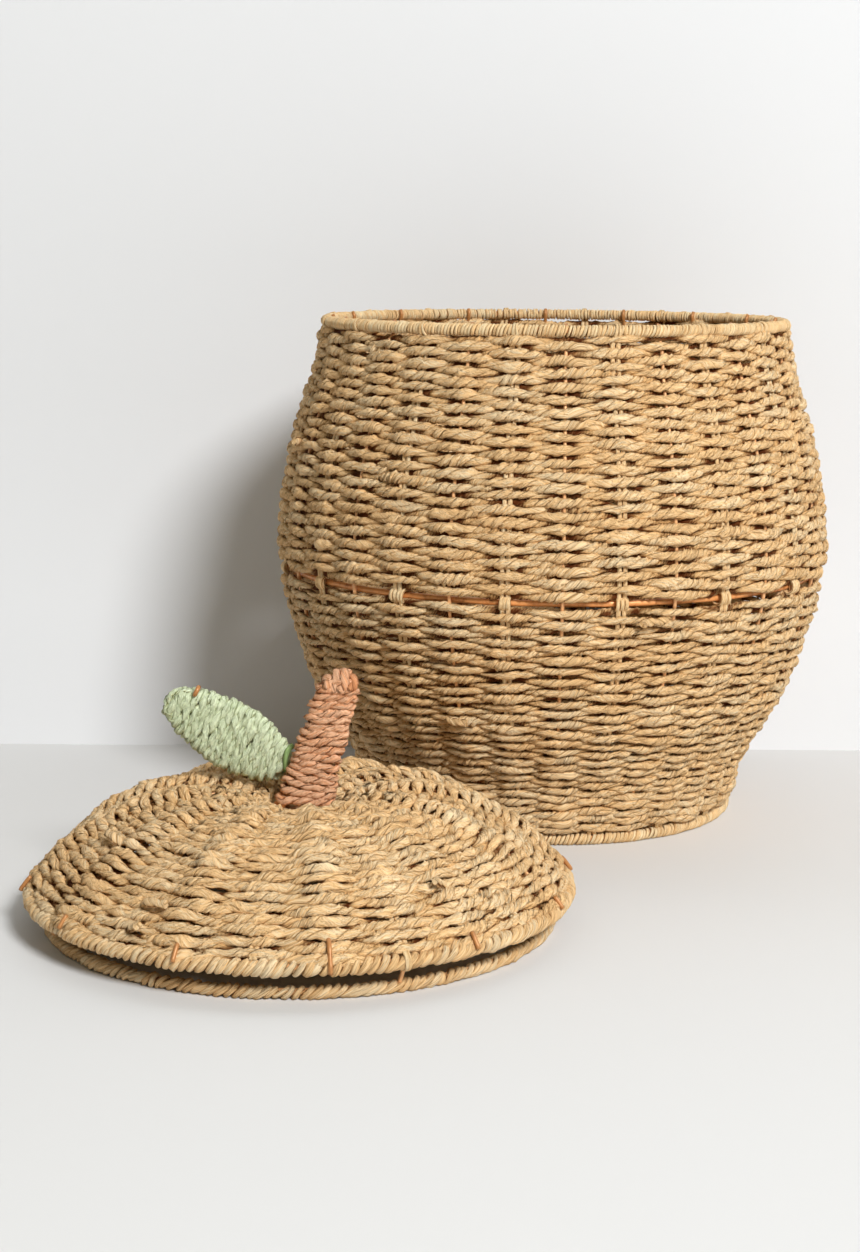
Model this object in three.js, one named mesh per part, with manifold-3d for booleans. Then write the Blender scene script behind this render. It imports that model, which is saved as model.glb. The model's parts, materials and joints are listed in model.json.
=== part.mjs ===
// Straw basket with a lift-off lid, woven from twisted paper cord on a frame of painted steel wire.
// Millimetres, +Z up. The origin is on the floor, on the basket's axis. The lid has been taken off and
// lies on the floor in front of the basket, dome up.

import * as THREE from 'three';
import { mergeVertices } from 'three/addons/utils/BufferGeometryUtils.js';
import Module from 'manifold-3d';

const wasm = await Module();
wasm.setup();

// Wires, cords and clearances
const hoopWireDiameter = 4;
const stakeWireDiameter = 2.4;
const warpCordThickness = 3;
const warpCordPairWidth = 6;
const weaveThickness = 10;
const fitGap = 0.3;
const cutOverrun = 5;

// Basket frame: hoop radii and the heights of their centres
const rimHoopRadius = 149;
const rimHoopHeight = 321.3;
const rimWrapDiameter = 7.5;
const rimGap = 2.5;
const bellyHoopRadius = 173;
const bellyHoopHeight = 162.3;
const bellyClearance = 1.2;
const baseHoopRadius = 119.8;
const baseWrapDiameter = 8;
const baseWeaveThickness = 9;
const baseHubRadius = 11;

// The bulge of the wall. Each pair is a share of the height and a share of the radius between two hoops.
const lowerWallShares = [[0.23, 0.17], [0.48, 0.56], [0.74, 0.83]];
const upperWallShares = [[0.24, 0.03], [0.52, 0.31], [0.82, 0.82]];

// Lid: a dome on a wrapped hoop, with a smaller hoop below it that drops into the basket's mouth
const lidCentreX = -150.9;
const lidCentreY = -269.5;
const lidRimHoopRadius = 149;
const lidRimHoopHeight = 19.4;
const lidRimWrapDiameter = 9;
const lidMouthClearance = 2.3;
const lidSeatWrapDiameter = 7.8;
const lidWeaveThickness = 9;
const lidDomeHeight = 52.1;
const lidHubRadius = 17;
const lidHubThickness = 2.4;
const lidWeaveEdgeGap = 0.4;

// The line of the lid's ribs, as shares of the rim hoop's radius and of the dome's height above it
const lidCrownShares = [[0.92, 0.3], [0.78, 0.65], [0.55, 0.94], [0.3, 1]];
const lidHubHeightShare = 0.78;

// Stem: a flat cord winding on a bent wire that leans to one side
const stemFootX = 2;
const stemTopShift = 20.6;
const stemWindingLength = 73;
const stemBaseWidth = 33.5;
const stemTopWidth = 24;
const stemCrownHeight = 8;
const stemCordDiameter = 4.4;
const stemLoops = 13;
const windingClearance = 0.6;
const frameCornerRadius = 2.6;

// Leaf: the same kind of winding on a leaf-shaped wire, tied behind the stem's edge
const leafFootX = -9.6;
const leafSetback = 10.4;
const leafFootHeight = 82.3;
const leafLean = -58.2;
const leafWindingLength = 76;
const leafWidth = 41;
const leafCordDiameter = 4.2;
const leafLoops = 13;
const leafSlantShare = -0.12;
const leafEndShare = 0.06;
const leafStalkLength = 6.2;
const leafTieDiameter = 7;
const leafTieLength = 3;

// Counts and turns, in degrees
const uprightCount = 16;
const lidRibCount = 12;
const lidDropCount = 4;
const basketTurn = -0.4;
const lidTurn = 9;
const wireSides = 5;
const hoopSides = 6;
const wrapSides = 8;
const leafWireSteps = 10;
const stationsPerHalfLoop = 6;

// Sizes that follow from the ones above
const hoopWireRadius = hoopWireDiameter / 2;
const stakeWireRadius = stakeWireDiameter / 2;
const stakePitch = 180 / uprightCount;
const wallSegments = 2 * uprightCount;
const lidSegments = 2 * lidRibCount;
const wrapBoreRadius = hoopWireRadius + fitGap;
const rimWrapRadius = rimWrapDiameter / 2;
const baseWrapRadius = baseWrapDiameter / 2;
const lidRimWrapRadius = lidRimWrapDiameter / 2;
const lidSeatWrapRadius = lidSeatWrapDiameter / 2;
const footFlatShare = Math.cos(Math.PI / wrapSides);
const baseHoopHeight = baseWrapRadius * footFlatShare;
const bellyStakeRadius = bellyHoopRadius + hoopWireRadius + fitGap + warpCordThickness / 2;
const lidSeatHoopRadius = rimHoopRadius - rimWrapRadius - lidMouthClearance - lidSeatWrapRadius;
const lidSeatHoopHeight = lidSeatWrapRadius * footFlatShare;
const lidHubHeight = lidRimHoopHeight + lidDomeHeight * lidHubHeightShare;
const wireSeamHalf = Math.asin((stakeWireRadius + fitGap) / wrapBoreRadius);
const stakeSeamHalf = Math.asin((warpCordThickness / 2 + fitGap) / wrapBoreRadius);

// A path that bends at its stations and runs straight between them
class StationPath extends THREE.Curve {
  constructor(stations) {
    super();
    this.stations = stations;
  }

  getPoint(share, target = new THREE.Vector3()) {
    const last = this.stations.length - 1;
    const place = THREE.MathUtils.clamp(share, 0, 1) * last;
    const index = Math.min(Math.floor(place), last - 1);
    return target.lerpVectors(this.stations[index], this.stations[index + 1], place - index);
  }

  getUtoTmapping(share) {
    return share;
  }
}

function roundSection(radius, sides) {
  const corners = [];
  for (let side = 0; side < sides; side += 1) {
    const angle = (2 * Math.PI * (side + 0.5)) / sides;
    corners.push(new THREE.Vector2(radius * Math.cos(angle), radius * Math.sin(angle)));
  }
  return corners;
}

function boxSection(width, thickness) {
  const across = width / 2;
  const deep = thickness / 2;
  return [
    new THREE.Vector2(-across, -deep),
    new THREE.Vector2(across, -deep),
    new THREE.Vector2(across, deep),
    new THREE.Vector2(-across, deep),
  ];
}

function sweep(stations, section) {
  return new THREE.ExtrudeGeometry(new THREE.Shape(section), {
    extrudePath: new StationPath(stations),
    steps: stations.length - 1,
    bevelEnabled: false,
  });
}

// Turns a profile, given as [radius, height] pairs, about the Z axis. The first column faces -Y.
function turnProfile(profile, segments) {
  const points = profile.map(([radius, height]) => new THREE.Vector2(radius, height));
  return new THREE.LatheGeometry(points, segments).rotateX(Math.PI / 2);
}

function turnClosedProfile(profile, segments) {
  return turnProfile([...profile, profile[0]], segments);
}

// The corners of a flat-bottomed round section between two angles, both ends included
function arcCorners(radius, height, sectionRadius, sides, fromAngle, toAngle) {
  const corners = [];
  const facet = (2 * Math.PI) / sides;
  const inner = [];
  for (let angle = facet * (Math.floor(fromAngle / facet) + 0.5); angle < toAngle; angle += facet) {
    if (angle > fromAngle) {
      inner.push(angle);
    }
  }
  for (const angle of [fromAngle, ...inner, toAngle]) {
    corners.push([
      radius + sectionRadius * Math.cos(angle),
      height + sectionRadius * Math.sin(angle),
    ]);
  }
  return corners;
}

function hoopRing(radius, height, segments) {
  const profile = roundSection(hoopWireRadius, hoopSides).map(({ x, y }) => [radius + x, height + y]);
  return turnClosedProfile(profile, segments);
}

// The cord wrapped round a hoop, as a hollow ring with a seam between two angles for what enters it
function wrapRing(radius, height, wrapRadius, seamFrom, seamTo, segments) {
  const seamFromNext = seamFrom + 2 * Math.PI;
  const outside = arcCorners(radius, height, wrapRadius, wrapSides, seamTo, seamFromNext);
  const inside = arcCorners(radius, height, wrapBoreRadius, hoopSides, seamTo, seamFromNext).reverse();
  return turnClosedProfile([...outside, ...inside], segments);
}

// Joins and cuts
function toSolid(geometry) {
  const bare = geometry.clone();
  bare.deleteAttribute('normal');
  bare.deleteAttribute('uv');
  const merged = mergeVertices(bare);
  return new wasm.Manifold(new wasm.Mesh({
    numProp: 3,
    vertProperties: new Float32Array(merged.attributes.position.array),
    triVerts: new Uint32Array(merged.index.array),
  }));
}

function toGeometry(solid) {
  const mesh = solid.getMesh();
  const geometry = new THREE.BufferGeometry();
  geometry.setAttribute('position', new THREE.BufferAttribute(mesh.vertProperties, mesh.numProp));
  geometry.setIndex(new THREE.BufferAttribute(mesh.triVerts, 1));
  geometry.computeVertexNormals();
  return geometry;
}

function join(geometries) {
  const [first, ...rest] = geometries.map(toSolid);
  return rest.reduce((solid, other) => solid.add(other), first);
}

// A copy for each of count places round the Z axis, for a piece drawn along +X and first placed at -Y
function placesRound(geometry, count) {
  return Array.from({ length: count }, (_, index) => (
    geometry.clone().rotateZ((2 * Math.PI * index) / count - Math.PI / 2)
  ));
}

// The line that the stakes follow, between the three hoops
const wallBottom = baseWeaveThickness + fitGap;
const wallTop = rimHoopHeight - rimWrapRadius - rimGap;
const stakeBottom = baseHoopHeight + hoopWireRadius + fitGap;
const stakeTop = rimHoopHeight - hoopWireRadius - fitGap;
const lowerWallTop = bellyHoopHeight - hoopWireRadius - bellyClearance;
const upperWallBottom = bellyHoopHeight + hoopWireRadius + bellyClearance;

function lowerStation([heightShare, radiusShare]) {
  return [
    THREE.MathUtils.lerp(baseHoopRadius, bellyStakeRadius, radiusShare),
    THREE.MathUtils.lerp(baseHoopHeight, bellyHoopHeight, heightShare),
  ];
}

function upperStation([heightShare, radiusShare]) {
  return [
    THREE.MathUtils.lerp(bellyStakeRadius, rimHoopRadius, radiusShare),
    THREE.MathUtils.lerp(bellyHoopHeight, rimHoopHeight, heightShare),
  ];
}

// The point at a height on the straight stretch between two others
function pointBetween(lower, upper, height) {
  const share = (height - lower[1]) / (upper[1] - lower[1]);
  return [THREE.MathUtils.lerp(lower[0], upper[0], share), height];
}

const stakeFoot = [baseHoopRadius, stakeBottom];
const stakeBelly = [bellyStakeRadius, bellyHoopHeight];
const stakeHead = [rimHoopRadius, stakeTop];
const lowerStations = lowerWallShares.map(lowerStation);
const upperStations = upperWallShares.map(upperStation);
const stakeLine = [stakeFoot, ...lowerStations, stakeBelly, ...upperStations, stakeHead];
const lowerWallLine = [
  pointBetween(stakeFoot, lowerStations[0], wallBottom),
  ...lowerStations,
  pointBetween(lowerStations.at(-1), stakeBelly, lowerWallTop),
];
const upperWallLine = [
  pointBetween(stakeBelly, upperStations[0], upperWallBottom),
  ...upperStations,
  pointBetween(upperStations.at(-1), stakeHead, wallTop),
];

function toStations(line) {
  return line.map(([radius, height]) => new THREE.Vector3(radius, 0, height));
}

// A line moved sideways by a distance, to its right when it is followed from its start
function offsetLine(line, distance) {
  return line.map((point, index) => {
    const before = line[Math.max(index - 1, 0)];
    const after = line[Math.min(index + 1, line.length - 1)];
    const along = new THREE.Vector2(after[0] - before[0], after[1] - before[1]).normalize();
    return [point[0] + distance * along.y, point[1] - distance * along.x];
  });
}

// A line moved straight outwards at its two ends, so that the wall between two such lines ends flat
function wallSide(line, distance) {
  const moved = offsetLine(line, distance);
  const [first, last] = [line[0], line.at(-1)].map(([radius, height]) => [radius + distance, height]);
  return [first, ...moved.slice(1, -1), last];
}

// The same line, run on past both ends
function longerLine(line) {
  const ends = [[line[0], line[1]], [line.at(-1), line.at(-2)]].map(([end, next]) => {
    const out = new THREE.Vector2(end[0] - next[0], end[1] - next[1]).setLength(cutOverrun);
    return [end[0] + out.x, end[1] + out.y];
  });
  return [ends[0], ...line.slice(1, -1), ends[1]];
}

// A woven wall: a shell about the stakes' line, with a tunnel for each stake
function wovenWall(line) {
  const outside = wallSide(line, weaveThickness / 2);
  const inside = wallSide(line, -weaveThickness / 2).reverse();
  const shell = toSolid(turnClosedProfile([...outside, ...inside], wallSegments));
  const tunnelStations = toStations(longerLine(line));
  const wireBore = stakeWireDiameter + 2 * fitGap;
  const wireTunnel = sweep(tunnelStations, boxSection(wireBore, wireBore));
  const cordTunnel = sweep(tunnelStations, boxSection(
    warpCordPairWidth + 2 * fitGap,
    warpCordThickness + 2 * fitGap,
  )).rotateZ(THREE.MathUtils.degToRad(stakePitch));
  const tunnels = [...placesRound(wireTunnel, uprightCount), ...placesRound(cordTunnel, uprightCount)];
  return toGeometry(shell.subtract(join(tunnels)));
}

// The woven base: a flat disc with a star of wire spokes inside it
const baseWeaveRadius = baseHoopRadius - baseWrapRadius - fitGap;
const baseSpokeEnd = baseHoopRadius - hoopWireRadius - fitGap;

function baseStar(section, end, hubRadius, hubThickness) {
  const stations = toStations([[0, baseWeaveThickness / 2], [end, baseWeaveThickness / 2]]);
  const spoke = sweep(stations, section);
  const top = (baseWeaveThickness + hubThickness) / 2;
  const bottom = (baseWeaveThickness - hubThickness) / 2;
  const hub = turnProfile([[0, bottom], [hubRadius, bottom], [hubRadius, top], [0, top]], wallSegments);
  return join([hub, ...placesRound(spoke, uprightCount)]);
}

function baseWeave() {
  const radius = baseWeaveRadius;
  const disc = turnProfile(
    [[0, 0], [radius, 0], [radius, baseWeaveThickness], [0, baseWeaveThickness]],
    wallSegments,
  );
  const bore = stakeWireDiameter + 2 * fitGap;
  const cavity = baseStar(boxSection(bore, bore), radius + cutOverrun, baseHubRadius + fitGap, bore);
  return toGeometry(toSolid(disc).subtract(cavity));
}

// The lid's ribs run from beside the rim hoop over the dome to the hub
const lidCrownLine = lidCrownShares.map(([radiusShare, heightShare]) => [
  lidRimHoopRadius * radiusShare,
  lidRimHoopHeight + lidDomeHeight * heightShare,
]);
const lidEdgeAngle = Math.atan2(
  lidCrownLine[0][1] - lidRimHoopHeight,
  lidCrownLine[0][0] - lidRimHoopRadius,
);

function besideLidHoop(distance) {
  return [
    lidRimHoopRadius + distance * Math.cos(lidEdgeAngle),
    lidRimHoopHeight + distance * Math.sin(lidEdgeAngle),
  ];
}

const lidHubEdge = [lidHubRadius, lidHubHeight];
const lidRibLine = [
  besideLidHoop(hoopWireRadius + fitGap),
  ...lidCrownLine,
  lidHubEdge,
  [lidHubRadius / 2, lidHubHeight],
];
const lidWeaveLine = [
  besideLidHoop(lidRimWrapRadius + lidWeaveEdgeGap),
  ...lidCrownLine,
  lidHubEdge,
];

function lidStar(line, section, hubRadius, hubThickness) {
  const rib = sweep(toStations(line), section);
  const top = lidHubHeight + hubThickness / 2;
  const bottom = lidHubHeight - hubThickness / 2;
  const hub = turnProfile([[0, bottom], [hubRadius, bottom], [hubRadius, top], [0, top]], lidSegments);
  return join([hub, ...placesRound(rib, lidRibCount)]);
}

// Straight wires between the lid's two hoops, halfway between the ribs
const lidDropStart = new THREE.Vector3(lidSeatHoopRadius, 0, lidSeatHoopHeight);
const lidDropEnd = new THREE.Vector3(lidRimHoopRadius, 0, lidRimHoopHeight);
const lidDropAngle = Math.PI / lidRibCount;

function lidDropWire(section, endGap) {
  const along = lidDropEnd.clone().sub(lidDropStart).normalize();
  const stations = [
    lidDropStart.clone().addScaledVector(along, endGap),
    lidDropEnd.clone().addScaledVector(along, -endGap),
  ];
  return sweep(stations, section).rotateZ(lidDropAngle);
}

// A wrap of one of the lid's hoops, with its seam at an angle and a bore for each drop wire
function lidWrap(radius, height, wrapRadius, seamAngle) {
  const seamFrom = seamAngle - wireSeamHalf;
  const seamTo = seamAngle + wireSeamHalf;
  const wrap = wrapRing(radius, height, wrapRadius, seamFrom, seamTo, lidSegments);
  const bore = lidDropWire(roundSection(stakeWireRadius + fitGap, hoopSides), hoopWireRadius);
  return toGeometry(toSolid(wrap).subtract(join(placesRound(bore, lidDropCount))));
}

// The rim hoop's wrap has its seam where the ribs enter
function lidRimWrap() {
  return lidWrap(lidRimHoopRadius, lidRimHoopHeight, lidRimWrapRadius, lidEdgeAngle);
}

// The seat hoop's wrap has its seam on the inside of the ring
function lidSeatWrap() {
  return lidWrap(lidSeatHoopRadius, lidSeatHoopHeight, lidSeatWrapRadius, Math.PI);
}

// The outline of a flat winding: how far its two wires stand from its axis at a height along it
const stemBuild = stakeWireDiameter / 2 + windingClearance + stemCordDiameter;
const leafBuild = stakeWireDiameter / 2 + windingClearance + leafCordDiameter;

function stemHalfSpacing(height) {
  const widthHere = THREE.MathUtils.lerp(stemBaseWidth, stemTopWidth, height / stemWindingLength);
  const crownStart = stemWindingLength - stemCrownHeight;
  const over = THREE.MathUtils.clamp((height - crownStart) / stemCrownHeight, 0, 1);
  return (widthHere / 2 - stemBuild) * Math.sqrt(1 - over ** 2);
}

function leafHalfSpacing(height) {
  const share = THREE.MathUtils.clamp(height / leafWindingLength, 0, 1);
  const bluntShare = THREE.MathUtils.lerp(leafEndShare, 1 - leafEndShare, share);
  return (leafWidth / 2 - leafBuild) * Math.sin(Math.PI * bluntShare);
}

// One unbroken cord round the two wires. A half loop is a bend round one wire and a straight crossing.
// The crossings slant by a share of their length, and the whole winding may drift to one side.
function windingStations({ length, loops, halfSpacing, reach, slantShare, driftShare }) {
  const stations = [];
  const stationsPerLoop = 2 * stationsPerHalfLoop;
  const bendSteps = stationsPerHalfLoop - 2;
  for (let step = 0; step <= loops * stationsPerLoop; step += 1) {
    const place = (step + bendSteps + 1) % stationsPerHalfLoop;
    const half = Math.floor((step + bendSteps + 1) / stationsPerHalfLoop) % 2;
    const isCrossing = place > bendSteps;
    const wireSide = half === 0 ? -1 : 1;
    const side = isCrossing ? 0 : wireSide;
    const bendAngle = Math.PI * (Math.min(place, bendSteps) / bendSteps - 0.5 + (half === 0 ? 1 : 0));
    const plainHeight = (length * step) / (loops * stationsPerLoop);
    const height = plainHeight + slantShare * side * halfSpacing(plainHeight);
    stations.push(new THREE.Vector3(
      side * halfSpacing(height) + (isCrossing ? 0 : reach * Math.cos(bendAngle)) + driftShare * height,
      reach * Math.sin(bendAngle),
      height,
    ));
  }
  return stations;
}

// The least distance between stretches of a winding that are more than half a loop apart
function leastGapToItself(stations, cordDiameter) {
  const nearest = new THREE.Vector3();
  const stretch = new THREE.Line3();
  let least = Infinity;
  stations.forEach((station, index) => {
    for (let other = index + stationsPerHalfLoop; other < stations.length - 1; other += 1) {
      stretch.set(stations[other], stations[other + 1]);
      stretch.closestPointToPoint(station, true, nearest);
      least = Math.min(least, nearest.distanceTo(station) - cordDiameter);
    }
  });
  return least;
}

// The stem's wire stands on the hub, passes through the dome and bends over inside the winding
const stemFootHeight = lidHubHeight + lidWeaveThickness / 2 + fitGap + stemCordDiameter / 2;
const stemWireRise = stemWindingLength - stemCrownHeight - stemBuild + stemCordDiameter / 2;
const stemWireDrop = stemFootHeight - lidHubHeight - lidHubThickness / 2 - fitGap;
const stemDriftShare = stemTopShift / stemWindingLength;

function stemWire(radius, sides) {
  const topHalf = stemHalfSpacing(stemWireRise);
  const corner = frameCornerRadius;
  const cornerShare = 1 - Math.SQRT1_2;
  const oneSide = [
    [stemHalfSpacing(0), -stemWireDrop],
    [stemHalfSpacing(0), 0],
    [topHalf, stemWireRise - corner],
    [topHalf - corner * cornerShare, stemWireRise - corner * cornerShare],
    [topHalf - corner, stemWireRise],
  ];
  const place = (sign) => ([across, height]) => (
    new THREE.Vector3(sign * across + stemDriftShare * height, 0, height)
  );
  return sweep([...oneSide.map(place(1)), ...oneSide.map(place(-1)).reverse()], roundSection(radius, sides));
}

// The leaf's wire: two sides that meet at the tip and at the foot, and a stalk towards the stem
function leafWire(radius, sides) {
  const section = roundSection(radius, sides);
  const side = (sign) => {
    const stations = [new THREE.Vector3()];
    for (let step = 1; step < leafWireSteps; step += 1) {
      const height = (leafWindingLength * step) / leafWireSteps;
      stations.push(new THREE.Vector3(sign * leafHalfSpacing(height), 0, height));
    }
    stations.push(new THREE.Vector3(0, 0, leafWindingLength));
    return sweep(stations, section);
  };
  const stalk = sweep([new THREE.Vector3(0, 0, -leafStalkLength), new THREE.Vector3(0, 0, radius)], section);
  return toGeometry(join([side(1), side(-1), stalk]));
}

// The tie is a collar on the stalk, just below the leaf's winding
function leafTie() {
  const top = -leafCordDiameter / 2 - fitGap;
  const bottom = top - leafTieLength;
  const bore = stakeWireRadius + fitGap;
  const outer = leafTieDiameter / 2;
  return turnClosedProfile([[bore, bottom], [outer, bottom], [outer, top], [bore, top]], wrapSides);
}

function placeStem(object) {
  object.position.set(stemFootX, 0, stemFootHeight);
  return object;
}

function placeLeaf(object) {
  object.position.set(leafFootX, leafSetback, leafFootHeight);
  object.rotation.y = THREE.MathUtils.degToRad(leafLean);
  return object;
}

// The dome: a shell about the ribs' line, with room for the star of ribs and two bores for the stem's wire
function lidWeave() {
  const outside = offsetLine(lidWeaveLine, lidWeaveThickness / 2);
  const inside = offsetLine(lidWeaveLine, -lidWeaveThickness / 2).reverse();
  const centreTop = lidHubHeight + lidWeaveThickness / 2;
  const centreBottom = lidHubHeight - lidWeaveThickness / 2;
  const shell = turnProfile([[0, centreBottom], ...inside, ...outside, [0, centreTop]], lidSegments);
  const bore = stakeWireDiameter + 2 * fitGap;
  const cavityLine = [besideLidHoop(0), ...lidRibLine.slice(1)];
  const cavity = lidStar(cavityLine, boxSection(bore, bore), lidHubRadius + fitGap, lidHubThickness + 2 * fitGap);
  const wireBore = stemWire(stakeWireRadius + fitGap, hoopSides)
    .translate(stemFootX, 0, stemFootHeight)
    .rotateZ(-THREE.MathUtils.degToRad(lidTurn));
  return toGeometry(toSolid(shell).subtract(cavity).subtract(toSolid(wireBore)));
}

// Materials
const paintedWire = new THREE.MeshStandardMaterial({ color: 0xb8683c, roughness: 0.5, metalness: 0.1 });
const strawCord = new THREE.MeshStandardMaterial({ color: 0xc9a574, roughness: 0.85, metalness: 0 });
const paleCord = new THREE.MeshStandardMaterial({ color: 0xd9b98a, roughness: 0.85, metalness: 0 });
const stemCord = new THREE.MeshStandardMaterial({ color: 0xb87a5c, roughness: 0.85, metalness: 0 });
const leafCord = new THREE.MeshStandardMaterial({ color: 0xb9d0ad, roughness: 0.85, metalness: 0 });
const tieCord = new THREE.MeshStandardMaterial({ color: 0x86ad78, roughness: 0.85, metalness: 0 });

function addPiece(group, name, geometry, material) {
  const piece = new THREE.Mesh(geometry, material.clone());
  piece.name = name;
  group.add(piece);
  return piece;
}

function numbered(name, index) {
  return `${name}_${String(index + 1).padStart(2, '0')}`;
}

// The basket
const basket = new THREE.Group();
basket.rotation.z = THREE.MathUtils.degToRad(basketTurn);

const stakeStations = toStations(stakeLine);
const uprightWire = sweep(stakeStations, roundSection(stakeWireRadius, wireSides));
const warpCord = sweep(stakeStations, boxSection(warpCordPairWidth, warpCordThickness));
for (let index = 0; index < uprightCount; index += 1) {
  const angle = (2 * Math.PI * index) / uprightCount - Math.PI / 2;
  const wire = addPiece(basket, numbered('upright_wire', index), uprightWire, paintedWire);
  wire.rotation.z = angle;
  const cord = addPiece(basket, numbered('warp_cord', index), warpCord, paleCord);
  cord.rotation.z = angle + THREE.MathUtils.degToRad(stakePitch);
}

// The rim's wrap is open below, and the base's above and inside, where the stakes and spokes enter
const rimWrap = wrapRing(
  rimHoopRadius,
  rimHoopHeight,
  rimWrapRadius,
  -Math.PI / 2 - stakeSeamHalf,
  -Math.PI / 2 + stakeSeamHalf,
  wallSegments,
);
const baseWrap = wrapRing(
  baseHoopRadius,
  baseHoopHeight,
  baseWrapRadius,
  Math.PI / 2 - stakeSeamHalf,
  Math.PI + wireSeamHalf,
  wallSegments,
);
addPiece(basket, 'rim_hoop', hoopRing(rimHoopRadius, rimHoopHeight, wallSegments), paintedWire);
addPiece(basket, 'belly_hoop', hoopRing(bellyHoopRadius, bellyHoopHeight, wallSegments), paintedWire);
addPiece(basket, 'base_hoop', hoopRing(baseHoopRadius, baseHoopHeight, wallSegments), paintedWire);
addPiece(basket, 'rim_wrap', rimWrap, paleCord);
addPiece(basket, 'base_wrap', baseWrap, paleCord);
addPiece(basket, 'upper_weave', wovenWall(upperWallLine), strawCord);
addPiece(basket, 'lower_weave', wovenWall(lowerWallLine), strawCord);
addPiece(basket, 'base_weave', baseWeave(), strawCord);
addPiece(basket, 'base_spokes', toGeometry(baseStar(
  roundSection(stakeWireRadius, wireSides),
  baseSpokeEnd,
  baseHubRadius,
  stakeWireDiameter,
)), paintedWire);

// The lid
const lid = new THREE.Group();
lid.position.set(lidCentreX, lidCentreY, 0);
lid.rotation.z = THREE.MathUtils.degToRad(lidTurn);

addPiece(lid, 'lid_rim_hoop', hoopRing(lidRimHoopRadius, lidRimHoopHeight, lidSegments), paintedWire);
addPiece(lid, 'lid_rim_wrap', lidRimWrap(), paleCord);
addPiece(lid, 'lid_seat_hoop', hoopRing(lidSeatHoopRadius, lidSeatHoopHeight, lidSegments), paintedWire);
addPiece(lid, 'lid_seat_wrap', lidSeatWrap(), paleCord);
addPiece(lid, 'lid_weave', lidWeave(), strawCord);
addPiece(lid, 'lid_ribs', toGeometry(lidStar(
  lidRibLine,
  roundSection(stakeWireRadius, wireSides),
  lidHubRadius,
  lidHubThickness,
)), paintedWire);
const dropWire = lidDropWire(roundSection(stakeWireRadius, wireSides), hoopWireRadius + fitGap);
for (let index = 0; index < lidDropCount; index += 1) {
  const drop = addPiece(lid, numbered('lid_drop_wire', index), dropWire, paintedWire);
  drop.rotation.z = (2 * Math.PI * index) / lidDropCount - Math.PI / 2;
}

// The stem and the leaf stand square to the front, whatever the turn of the lid's ribs
const handle = new THREE.Group();
handle.rotation.z = -THREE.MathUtils.degToRad(lidTurn);
lid.add(handle);

const stemStations = windingStations({
  length: stemWindingLength,
  loops: stemLoops,
  halfSpacing: stemHalfSpacing,
  reach: stemBuild - stemCordDiameter / 2,
  slantShare: 0,
  driftShare: stemDriftShare,
});
const leafStations = windingStations({
  length: leafWindingLength,
  loops: leafLoops,
  halfSpacing: leafHalfSpacing,
  reach: leafBuild - leafCordDiameter / 2,
  slantShare: leafSlantShare,
  driftShare: 0,
});
console.log('stem_winding least gap to itself, mm:', leastGapToItself(stemStations, stemCordDiameter).toFixed(2));
console.log('leaf_winding least gap to itself, mm:', leastGapToItself(leafStations, leafCordDiameter).toFixed(2));

const stemWinding = sweep(stemStations, roundSection(stemCordDiameter / 2, wireSides));
const leafWinding = sweep(leafStations, roundSection(leafCordDiameter / 2, wireSides));
placeStem(addPiece(handle, 'stem_frame', stemWire(stakeWireRadius, wireSides), paintedWire));
placeStem(addPiece(handle, 'stem_winding', stemWinding, stemCord));
placeLeaf(addPiece(handle, 'leaf_frame', leafWire(stakeWireRadius, wireSides), paintedWire));
placeLeaf(addPiece(handle, 'leaf_winding', leafWinding, leafCord));
placeLeaf(addPiece(handle, 'leaf_tie', leafTie(), tieCord));

const strawBasket = new THREE.Group();
strawBasket.add(basket, lid);

export default strawBasket;
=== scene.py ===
"""A straw basket woven of twisted paper cord on a wire frame, with its lid taken off and laid beside it."""
import json
import math
from collections import namedtuple
from functools import partial

import bmesh
import bpy
import numpy as np
from bpy.props import FloatProperty, FloatVectorProperty, IntProperty, PointerProperty
from mathutils import Matrix, Vector

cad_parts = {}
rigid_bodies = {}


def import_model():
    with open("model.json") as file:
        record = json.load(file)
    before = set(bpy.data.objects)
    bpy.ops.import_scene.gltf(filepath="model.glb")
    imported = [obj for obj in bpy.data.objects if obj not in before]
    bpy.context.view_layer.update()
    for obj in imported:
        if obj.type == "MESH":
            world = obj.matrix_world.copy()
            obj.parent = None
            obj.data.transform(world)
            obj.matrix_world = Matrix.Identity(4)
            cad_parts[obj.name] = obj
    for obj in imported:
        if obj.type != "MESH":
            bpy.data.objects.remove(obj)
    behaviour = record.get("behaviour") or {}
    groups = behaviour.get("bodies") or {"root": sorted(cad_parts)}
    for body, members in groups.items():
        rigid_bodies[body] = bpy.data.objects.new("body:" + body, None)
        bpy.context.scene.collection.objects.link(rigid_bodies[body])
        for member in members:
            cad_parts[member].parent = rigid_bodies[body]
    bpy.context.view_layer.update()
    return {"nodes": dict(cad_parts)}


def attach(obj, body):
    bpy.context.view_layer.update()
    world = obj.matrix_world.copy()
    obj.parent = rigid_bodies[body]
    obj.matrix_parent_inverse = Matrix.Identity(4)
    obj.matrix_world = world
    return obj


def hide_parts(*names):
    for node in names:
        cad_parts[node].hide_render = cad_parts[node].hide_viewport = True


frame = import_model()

bl_info = {
    "name": "Straw Basket",
    "version": (1, 0, 0),
    "blender": (4, 5, 0),
    "location": "3D Viewport > Sidebar > Basket",
    "description": "Weaves a lidded straw basket of twisted paper cord on a wire frame",
    "category": "Add Mesh",
}

TURN = 2 * math.pi

# The line of the stakes, which is the middle of the woven wall: radius and height, from the base to the rim
WALL_LINE = [(0.1198, 0.0060), (0.1295, 0.0402), (0.1517, 0.0798), (0.1671, 0.1211), (0.1768, 0.1623),
             (0.1760, 0.2005), (0.1682, 0.2450), (0.1540, 0.2927), (0.1490, 0.3190)]
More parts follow.
